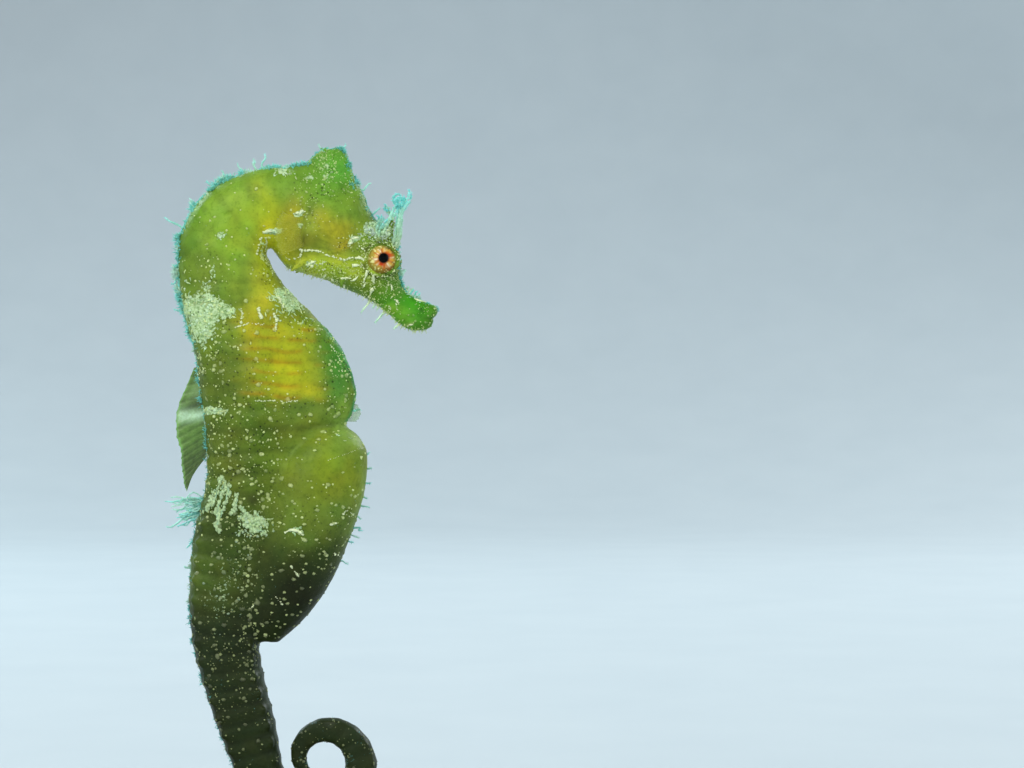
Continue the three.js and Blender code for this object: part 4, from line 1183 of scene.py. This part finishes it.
# the marks of the face and flanks: radius in mm, then column and row of each point
DOTTED = [
    (0.15, 301, 250, 309, 250.6, 318, 251.2, 328, 255.1, 338.7, 258.4, 346.6, 259.7, 352, 257.7, 364,
     259.7),
    (0.15, 289, 259.7, 297, 258.4, 301, 255.1, 302, 251.2), (0.15, 358.5, 246, 361, 248, 365, 251),
    (0.1, 236, 327, 245, 325, 251, 323.5, 264, 325), (0.16, 262, 238, 259, 246, 257, 254),
    (0.1, 266, 238, 267, 250, 269, 262, 273, 275), (0.13, 241.5, 308, 242, 314, 241, 326),
    (0.12, 320, 264, 326, 262), (0.12, 320, 271, 326, 269.5), (0.2, 259, 308, 259.5, 313, 261, 318),
    (0.18, 274, 314, 277, 321, 275, 330), (0.18, 279, 298, 282, 304, 285, 310),
    (0.1, 255, 401, 270, 401, 284, 402, 298, 401), (0.05, 327, 460.6, 341, 456, 354, 451, 365, 447),
    (0.08, 331, 345, 338, 356, 343, 372), (0.13, 343, 514, 347, 511, 353, 515),
    (0.12, 349, 517, 355, 514), (0.13, 330, 525, 336, 523), (0.14, 334, 554, 340, 557),
    (0.08, 391, 296, 396, 303, 397, 310), (0.07, 386, 276, 388, 284, 386, 292),
    (0.14, 408, 326, 412, 324), (0.14, 291, 566, 296, 573, 299, 577), (0.1, 276, 597, 283, 605),
    (0.1, 250, 609, 255, 604),
]
DRAWN = [
    (0.19, 263, 233.5, 267, 231.5, 273, 231.5, 279, 230), (0.2, 285, 533, 291, 530, 298, 531, 303, 534),
    (0.1, 396, 300, 399, 304), (0.16, 405, 290, 410, 294, 415, 297),
    (0.12, 414, 299, 420, 301.5, 427, 303), (0.22, 308, 266, 312, 262.5, 316, 262),
    (0.16, 311, 267, 314, 265),
    (0.16, 352.4, 265.8, 357, 265.4, 361.6, 265.8), (0.16, 355, 258.5, 359, 258, 363.5, 259.5),
    (0.15, 341, 279, 347, 278, 352, 278.6), (0.15, 352, 281, 356, 279, 358, 276),
    (0.18, 367.3, 270.5, 366, 276, 363.5, 281), (0.19, 373.3, 275.5, 373.7, 279, 373.4, 284),
    (0.14, 365, 284, 363.5, 288), (0.2, 373, 288, 370.5, 294, 367, 300),
    (0.15, 390.5, 284, 392, 288, 391, 292), (0.17, 374.5, 299.5, 375, 304),
    (0.16, 378, 303.5, 378.5, 307.5), (0.16, 390, 308, 386, 313.5, 383, 317),
    (0.16, 394.5, 315.5, 395, 321), (0.15, 400, 322, 397, 327.5),
    (0.13, 338, 282, 336, 286), (0.13, 332, 279, 334, 282), (0.13, 345, 285, 344, 288),
    (0.12, 326, 275, 323, 278), (0.14, 350, 240, 356, 238, 360, 239), (0.14, 349, 244, 354, 242),
    (0.18, 300, 215, 302, 211.5, 305, 212), (0.17, 296, 214, 300, 213),
]
STREAKS = [  # over the hip
    (0.07, 223, 475, 220, 486, 216, 498, 210, 508), (0.07, 230, 482, 228, 495, 224, 507, 220, 518),
    (0.07, 215, 490, 210, 503, 205, 513), (0.07, 219, 506, 217, 520, 218, 533),
    (0.07, 237, 494, 235, 504, 231, 514), (0.07, 226, 480, 223, 492, 220, 504, 216, 514),
    (0.07, 241, 508, 247, 515, 255, 521), (0.07, 256, 512, 262, 519, 267, 527),
    (0.07, 246, 526, 256, 531, 269, 535),
]


def marks_of(table):
    """(side, radius, points) of each mark, first for the right flank and then for the left."""
    return [(side, row[0], np.reshape(row[1:], (-1, 2))) for side in (-1, 1) for row in table]


for side, radius, line in marks_of(STREAKS):
    line = line + 0.7 * rng.normal(size=2)
    path = spline(line)(np.linspace(0, len(line) - 1, 12)) + 0.7 * rng.normal(size=(12, 2))
    lying(path, side, radius, HIP_TINT, 0.04, 0.8)
    chain = spline(line)(rng.uniform(0, len(line) - 1, 40)) + 1.2 * rng.normal(size=(40, 2))
    found = on_flank(chain, side)
    size = rng.uniform(0.08, 0.36, len(found))
    tint = mix(HIP_TINT, CREAM, 0.35) * rng.uniform(0.75, 1.1, (len(found), 1))
    domes(crusts, found, size, 0.5 * size, tint, 0.75, 7)
for side, radius, line in marks_of(DOTTED):
    steps = int(np.linalg.norm(np.diff(line, axis=0), axis=1).sum() * PIXEL / 0.17) + 2
    spots = spline(line)(np.linspace(0, len(line) - 1, steps)) + 0.4 * rng.normal(size=(steps, 2))
    found = on_flank(spots[rng.random(steps) < 0.85], side)
    size = 1.1 * radius * rng.uniform(0.5, 1.25, len(found))
    domes(grains, found, size, 0.8 * size, CHALK, 1.2)
for side, radius, line in marks_of(DRAWN):
    lying(line, side, 0.95 * radius, CHALK, 0.05, 0.6)
    spots = spline(line)(rng.uniform(0, len(line) - 1, 9)) + 0.9 * rng.normal(size=(9, 2))
    found = on_flank(spots, side)
    size = radius * rng.uniform(0.3, 0.8, len(found))
    domes(grains, found, size, 0.8 * size, CHALK, 1.2)

# the nape's fuzz, up to the coronet
tufts(fuzz_back, scatter("body", 150, 0.1, 1.2, 0, 0.15), 0.4, 0.08, 4, 0.55, 0.97)

fuzz_look = tinted("seahorse_fuzz", 0.55)
grain_look = tinted("seahorse_granules", 0.5, inward=0.1)
threads.piece("coat_threads", tinted("seahorse_threads", 0.5))
fuzz_back.piece("coat_fuzz_back", fuzz_look)
fuzz_fine.piece("coat_fuzz_fine", fuzz_look)
grains.piece("coat_granules", grain_look)
crusts.piece("coat_crusts", grain_look)

# ------------------------------------------------------------------ eyes


def iris_tint(off, angle):
    """Colours of the eye at a distance in mm from the pupil's middle."""
    round_it = np.stack([3 * np.cos(angle), 3 * np.sin(angle), 0.4 * off], -1)
    broad, narrow = noise3(round_it, 0.9, 41), noise3(round_it, 0.34, 42)
    pale = smoothstep(-0.3, 0.6, 0.65 * narrow + 0.6 * broad + 0.2 * np.cos(8 * angle))
    hot = np.clip(np.cos(angle - 0.7), 0, 1) ** 2.5 + 0.9 * np.clip(np.cos(angle + 1.9), 0, 1) ** 4
    hot = np.clip(hot + 0.3 * narrow, 0, 1) * smoothstep(1.25, 0.8, off + 0.15 * broad)
    below = np.clip(np.cos(angle + 1.1), 0, 1) ** 2
    flat = np.stack([off * np.cos(angle), off * np.sin(angle), 0 * off], -1)
    dots = smoothstep(0.1, 0.5, noise3(flat, 0.2, 44))
    # painted shadow that the lid casts on the eye's upper right
    lid_shadow = np.clip(np.cos(angle - 0.95), 0, 1) ** 5
    iris = painted(
        (196, 120, 44),
        ((248, 232, 184), pale),
        ((224, 180, 62), smoothstep(0.0, 0.5, noise3(round_it, 0.6, 43)) * 0.75),
        ((200, 48, 12), hot),
        ((138, 60, 18), 0.8 * smoothstep(0.84, 0.7, off)),
    )
    outer = painted((176, 156, 62), ((128, 74, 30), 0.8 * below), ((240, 232, 150), dots))
    eye = painted(
        mix(iris, outer, smoothstep(1.12, 1.5, off + 0.3 * narrow)),
        # the lid's painted shadow, dark green
        ((40, 62, 18), 0.85 * lid_shadow * smoothstep(1.05, 1.4, off + 0.2 * narrow)),
        ((94, 96, 26), 0.45 * smoothstep(1.6, 1.85, off)),
    )
    return mix(eye, np.full(3, 0.0003), smoothstep(0.655, 0.615, off))


eye_look = Look("seahorse_eye", Roughness=0.35, Specular_IOR_Level=0.04)
eye_look.shader(Base_Color=eye_look.attribute("Tint"), Coat_Weight=0.16, Coat_Roughness=0.05)
EYEBALL = (1.95, 1.5, 1.95)
PUPIL = (0.3, 0.16)  # the pupil's middle, from the eye's
for side, word in SIDES:
    polar, turn = np.meshgrid(np.linspace(0.015, np.pi - 0.015, 100), around(220), indexing="ij")
    unit_ball = [np.sin(polar) * np.cos(turn), side * np.cos(polar), np.sin(polar) * np.sin(turn)]
    ball = Shapes()
    ball.loft(EYE * (1, side, 1) + np.stack(unit_ball, -1) * EYEBALL)
    eyeball = ball.mesh(f"eyeball_{word}")
    p = read(eyeball.vertices, "co", 3)
    across, up = p[:, 0] - EYE[0] - PUPIL[0], p[:, 2] - EYE[2] - PUPIL[1]
    set_colour(eyeball, "Tint", np.clip(iris_tint(np.hypot(across, up), np.arctan2(up, across)), 0, 1))
    set_coords(eyeball, p * MM)
    new_piece(f"eyeball_{word}", eyeball, eye_look.material, "eye", f"eye_{word}")

# ------------------------------------------------------------------ fins


def rayed_sheet(root, edge, rays, place_of, sag, seed, bones):
    """A fin: a thin web between bony rays, its edge scalloped. Gives the form, and (s, t, ray) of each
    point, from 0 to 1 along the root, out from it and from web to ray."""
    count, rows_out = 10 * rays + 1, 22
    s = np.linspace(0, 1, count)
    t = np.linspace(0, 1, rows_out)
    lower = spline(root)(s * (len(root) - 1))
    upper = spline(edge)(s * (len(edge) - 1))
    ray = (0.5 + 0.5 * np.cos(TURN * rays * s)) ** 3
    reach = 1 - 0.025 * (1 - ray) - 0.09 * np.abs(noise3(np.stack([s * 9, 0 * s, 0 * s], -1), 1, seed))
    flat = lower[:, None] + (upper - lower)[:, None] * (t[None, :, None] * reach[:, None, None])
    wave = sag * t[None] ** 1.5 * np.sin(TURN * 1.5 * s)[:, None]
    wave = wave + 0.04 * t[None] * np.cos(TURN * rays * s)[:, None]
    half = (0.03 + bones * ray[:, None] * (1 - 0.65 * t[None])) * smoothstep(1.02, 0.9, t)[None] + 0.015
    front = np.concatenate([flat, (wave + half)[..., None]], -1)
    back = np.concatenate([flat, (wave - half)[..., None]], -1)
    form = Shapes()
    form.loft(place_of(np.concatenate([front, back[:, ::-1]], 1)))
    there_and_back = np.tile(np.concatenate([t, t[::-1]]), count)
    st = np.stack([np.repeat(s, 2 * rows_out), there_and_back, np.repeat(ray, 2 * rows_out)], -1)
    return form, np.vstack([st, [[0, 0.5, 0], [1, 0.5, 0]]]).T


def fin_piece(name, sheet, colour_of, node_name, alpha=1.0):
    form, st = sheet
    mesh = form.mesh(name, MM)
    set_colour(mesh, "Tint", np.clip(colour_of(*st), 0, 1))
    new_piece(name, mesh, tinted(f"{name}_web", 0.4, 0.3, 0.02, 0.25, alpha), "fin", node_name)


def upright(rows):
    return np.stack([rows[..., 0], rows[..., 2], rows[..., 1]], -1)


# x and z of points along the fins' roots and edges
DORSAL_ROOT = [
    (-11.6, 78.2), (-11.1, 76.5), (-10.8, 74.9), (-10.5, 73.3), (-10.3, 71.8),
    (-10.1, 70.2), (-10.1, 68.7), (-10.3, 67.3), (-11.0, 66.2), (-12.3, 65.0),
]
DORSAL_EDGE = [
    (-12.5, 78.0), (-13.4, 75.9), (-14.3, 73.8), (-14.9, 71.4), (-14.8, 69.4),
    (-14.4, 67.5), (-14.2, 65.9), (-14.0, 64.3), (-13.8, 62.9), (-13.4, 61.9),
]
ANAL_ROOT = [(7.6, 73.6), (6.9, 72.6), (6.4, 71.8), (5.9, 71.0)]
ANAL_EDGE = [(8.9, 73.2), (9.25, 72.4), (9.2, 71.6), (8.8, 71.0)]


def dorsal_colour(s, t, ray):
    fleck = noise3(np.stack([14 * s, 9 * t, 0 * s], -1), 1, 51)
    bar = hump((s - 0.42 + 0.1 * t) / 0.045) * smoothstep(1.1, 0.8, t)
    tint = painted(
        (98, 134, 54),
        ((66, 94, 34), ray * 0.5),
        ((152, 184, 124), 0.7 * np.exp(-(((s - 0.19) / 0.07) ** 2 + ((t - 0.35) / 0.35) ** 2))),
        ((44, 54, 22), 0.6 * hump((s - 0.3) / 0.04) * smoothstep(0.9, 0.5, t)),
        ((52, 70, 28), smoothstep(0.55, 0.75, s) * 0.6),
        ((206, 240, 204), 0.9 * bar),
        ((120, 176, 90), smoothstep(0.9, 1.0, t) * 0.7),
    )
    return tint * (1 + 0.3 * fleck)[:, None]


def anal_colour(s, t, ray):
    edge = smoothstep(0.7, 1.0, t) * 0.4
    return painted((150, 184, 100), ((126, 160, 76), ray * 0.7), ((140, 190, 150), edge))


def pectoral_colour(s, t, ray):
    edge = smoothstep(0.8, 1.0, t) * 0.4
    return painted((204, 200, 60), ((186, 184, 52), ray), ((208, 214, 110), edge))


dorsal = rayed_sheet(DORSAL_ROOT, DORSAL_EDGE, 17, upright, 0.1, 1, 0.045)
anal = rayed_sheet(ANAL_ROOT, ANAL_EDGE, 4, upright, 0.0, 2, 0.04)
fin_piece("fin_dorsal", dorsal, dorsal_colour, "dorsal_fin")
fin_piece("fin_anal", anal, anal_colour, "anal_fin", 0.35)

FAN, SPLAY = 50, 14  # degrees that the pectoral fin fans over, and that it stands off the head
HALF_ROOT, LONGEST = 2.9, 4.0
pectoral_root, pectoral_edge = [], []
for share in np.linspace(-0.5, 0.5, 9):
    angle = math.radians(FAN * share)
    long = LONGEST * (1 - 0.5 * share * share)
    pectoral_root.append((0.25, HALF_ROOT * share))
    pectoral_edge.append((-long * math.cos(angle), HALF_ROOT * share + long * math.sin(angle)))
for side, word in SIDES:

    def beside(rows, side=side, splay=math.radians(SPLAY)):
        back, out = rows[..., 0], rows[..., 2]
        x_of = 2.3 + back * math.cos(splay) - out * math.sin(splay)
        y_of = side * (3.75 - back * math.sin(splay) + out * math.cos(splay))
        return np.stack([x_of, y_of, 95.2 + rows[..., 1]], -1)

    pectoral = rayed_sheet(pectoral_root, pectoral_edge, 15, beside, 0.0, 3, 0.012)
    fin_piece(f"fin_pectoral_{word}", pectoral, pectoral_colour, f"pectoral_fin_{word}", 0.2)

# ------------------------------------------------------------------ stand


def lathe(profile, sides, centre=0.0):
    """A round form through (radius, height) pairs, about an upright line at x = centre."""
    shape = Shapes()
    a = around(sides)
    shape.loft([np.stack([centre + r * np.cos(a), r * np.sin(a), h + 0 * a], -1) for r, h in profile])
    return shape


def walnut():
    look = Look("stand_walnut", Roughness=0.38, Coat_Weight=0.25, Coat_Roughness=0.2)
    along = look.node("Mapping", Scale=(1.0, 7.0, 7.0), Vector=look.place).outputs[0]
    broad = look.node("TexNoise", Scale=45.0, Detail=4.0, Roughness=0.6, Distortion=0.8, Vector=along)
    narrow = look.node("TexNoise", Scale=260.0, Detail=3.0, Roughness=0.6, Vector=along).outputs["Fac"]
    wood = look.mixed(look.ramp(broad.outputs["Fac"], 0.35, 0.65), (58, 34, 20), (104, 68, 42))
    look.shader(Base_Color=look.mixed(look.ramp(narrow, 0.52, 0.68), wood, (36, 20, 12)))
    look.bump(narrow, 0.25, 0.05)
    return look.material


def brass():
    look = Look("stand_brass", Metallic=1.0)
    patina = look.noise(2.5)
    look.shader(Base_Color=look.mixed(patina, (188, 162, 104), (166, 140, 88)))
    look.shader(Roughness=look.plus(look.times(patina, 0.2), 0.5))
    return look.material


BASE_R, BASE_H, EDGE_R = 30, 7, 1.2
BASE_FOOT = [(10, 0), (29.6, 0), (29.8, 0.05), (29.95, 0.2), (30, 0.4)]
rounded = [
    (BASE_R - EDGE_R + EDGE_R * math.sin(q), BASE_H - EDGE_R + EDGE_R * math.cos(q))
    for q in np.linspace(math.pi / 2, 0, 8)
]
disc = lathe([*BASE_FOOT, *rounded, (26, BASE_H), (14, BASE_H), (4, BASE_H)], 160)
new_piece("stand_disc", disc.mesh("stand_disc", MM), walnut(), "stand_wood", "stand_base", smooth=False)

ROD_R, CUP_R, CUP_FOOT, CUP_RISE, CUP_TOP = 1.1, 1.9, 17.8, 1.6, 21.0
COLLAR = [
    (0.3, 7.15), (2.55, 7.15), (2.7, 7.3), (2.7, 8.0), (2.6, 8.15), (2.2, 8.35), (1.95, 8.55),
    (1.9, 8.68), (1.75, 8.75), (0.3, 8.75),
]
ROD = [(0.3, 8.9), (1.05, 8.9), (ROD_R, 8.95)] + [(ROD_R, h) for h in np.linspace(9.5, CUP_FOOT, 8)]
ROD += [(ROD_R + (CUP_R - ROD_R) * k / 6, CUP_FOOT + CUP_RISE * (k / 6) ** 1.5) for k in range(1, 7)]
ROD += [(CUP_R, CUP_TOP)] + [(r, CUP_TOP) for r in np.linspace(1.8, 0.15, 8)]
UP, BELOW_TAIL, CUP_GAP = Vector((0, 0, 1)), 11.0, 0.05
metal = brass()
for word, px in (("rear", -3.4), ("front", 7.6)):
    foot = lathe(COLLAR, 48, px).mesh(f"stand_foot_{word}", MM)
    new_piece(f"stand_foot_{word}", foot, metal, "stand_brass", f"stand_collar_{word}")
    rod = lathe(ROD, 48, px)
    for p in rod.verts[0]:  # the cup is cut to the underside of the tail
        hit = bvh.ray_cast(Vector((p[0], p[1], BELOW_TAIL)), UP)[0]
        if hit is not None:
            p[2] = min(p[2], hit[2] - CUP_GAP)
    stem = rod.mesh(f"stand_stem_{word}", MM)
    new_piece(f"stand_stem_{word}", stem, metal, "stand_brass", f"stand_rod_{word}")

# ------------------------------------------------------------------ stage, lights and camera, in metres


def build_stage():
    """A pale floor that turns up into a round wall."""
    look = Look("studio_floor", Roughness=0.9)
    look.shader(Base_Color=look.mixed(look.noise(40, 2), (196, 204, 208), (204, 211, 214)))
    sides, floor, bend = 96, 0.9, 0.6
    profile = [(floor * k / 8, 0.0) for k in range(1, 9)]
    profile += [
        (floor + bend * math.sin(t), bend - bend * math.cos(t)) for t in np.linspace(0.08, math.pi / 2, 24)
    ]
    profile += [(floor + bend, h) for h in (0.8, 1.2, 1.8)]
    verts = [(0, 0, 0)] + [(r * math.cos(b), r * math.sin(b), h) for r, h in profile for b in around(sides)]
    faces = [(0, 1 + i, 1 + (i + 1) % sides) for i in range(sides)]
    faces += [[1 + v for v in face[::-1]] for face in walls(len(profile), sides)]
    mesh = bpy.data.meshes.new("studio_bowl")
    mesh.from_pydata(verts, [], faces)
    shade_smooth(mesh)
    mesh.materials.append(look.material)
    add_object("studio_bowl", mesh)


build_stage()

MIDDLE = Vector((0.0, 0.0, 0.07))
LIGHTS = [  # name, place, size, watts, colour
    ("key", (-0.45, -0.85, 0.75), 0.45, 7.5, (1.0, 0.98, 0.94)),
    ("fill", (0.85, -0.7, 0.35), 0.7, 3.0, (0.93, 0.97, 1.0)),
    ("rim", (-0.7, 0.7, 0.7), 0.4, 7.0, (0.75, 0.93, 1.0)),
    ("back", (0.7, 0.8, 0.6), 0.4, 5.0, (0.9, 0.97, 1.0)),
]
for name, where, size, watts, colour in LIGHTS:
    data = bpy.data.lights.new(name, "AREA")
    data.size, data.energy, data.color = size, watts, colour
    lamp = add_object(name, data)
    lamp.location = where
    lamp.rotation_euler = (MIDDLE - Vector(where)).to_track_quat("-Z", "Y").to_euler()
world = bpy.data.worlds.new("studio")
world.use_nodes = True
world.node_tree.nodes["Background"].inputs["Color"].default_value = (0.8, 0.86, 0.92, 1)
world.node_tree.nodes["Background"].inputs["Strength"].default_value = 0.55
bpy.context.scene.world = world
bpy.context.scene.view_settings.view_transform = "Standard"

camera = add_object("camera", bpy.data.cameras.new("camera"))
camera.data.lens = 85
camera.data.sensor_width = 36
camera.data.clip_start = 0.01
camera.location = CAMERA * MM
camera.rotation_euler = (math.pi / 2, 0, 0)
bpy.context.scene.camera = camera
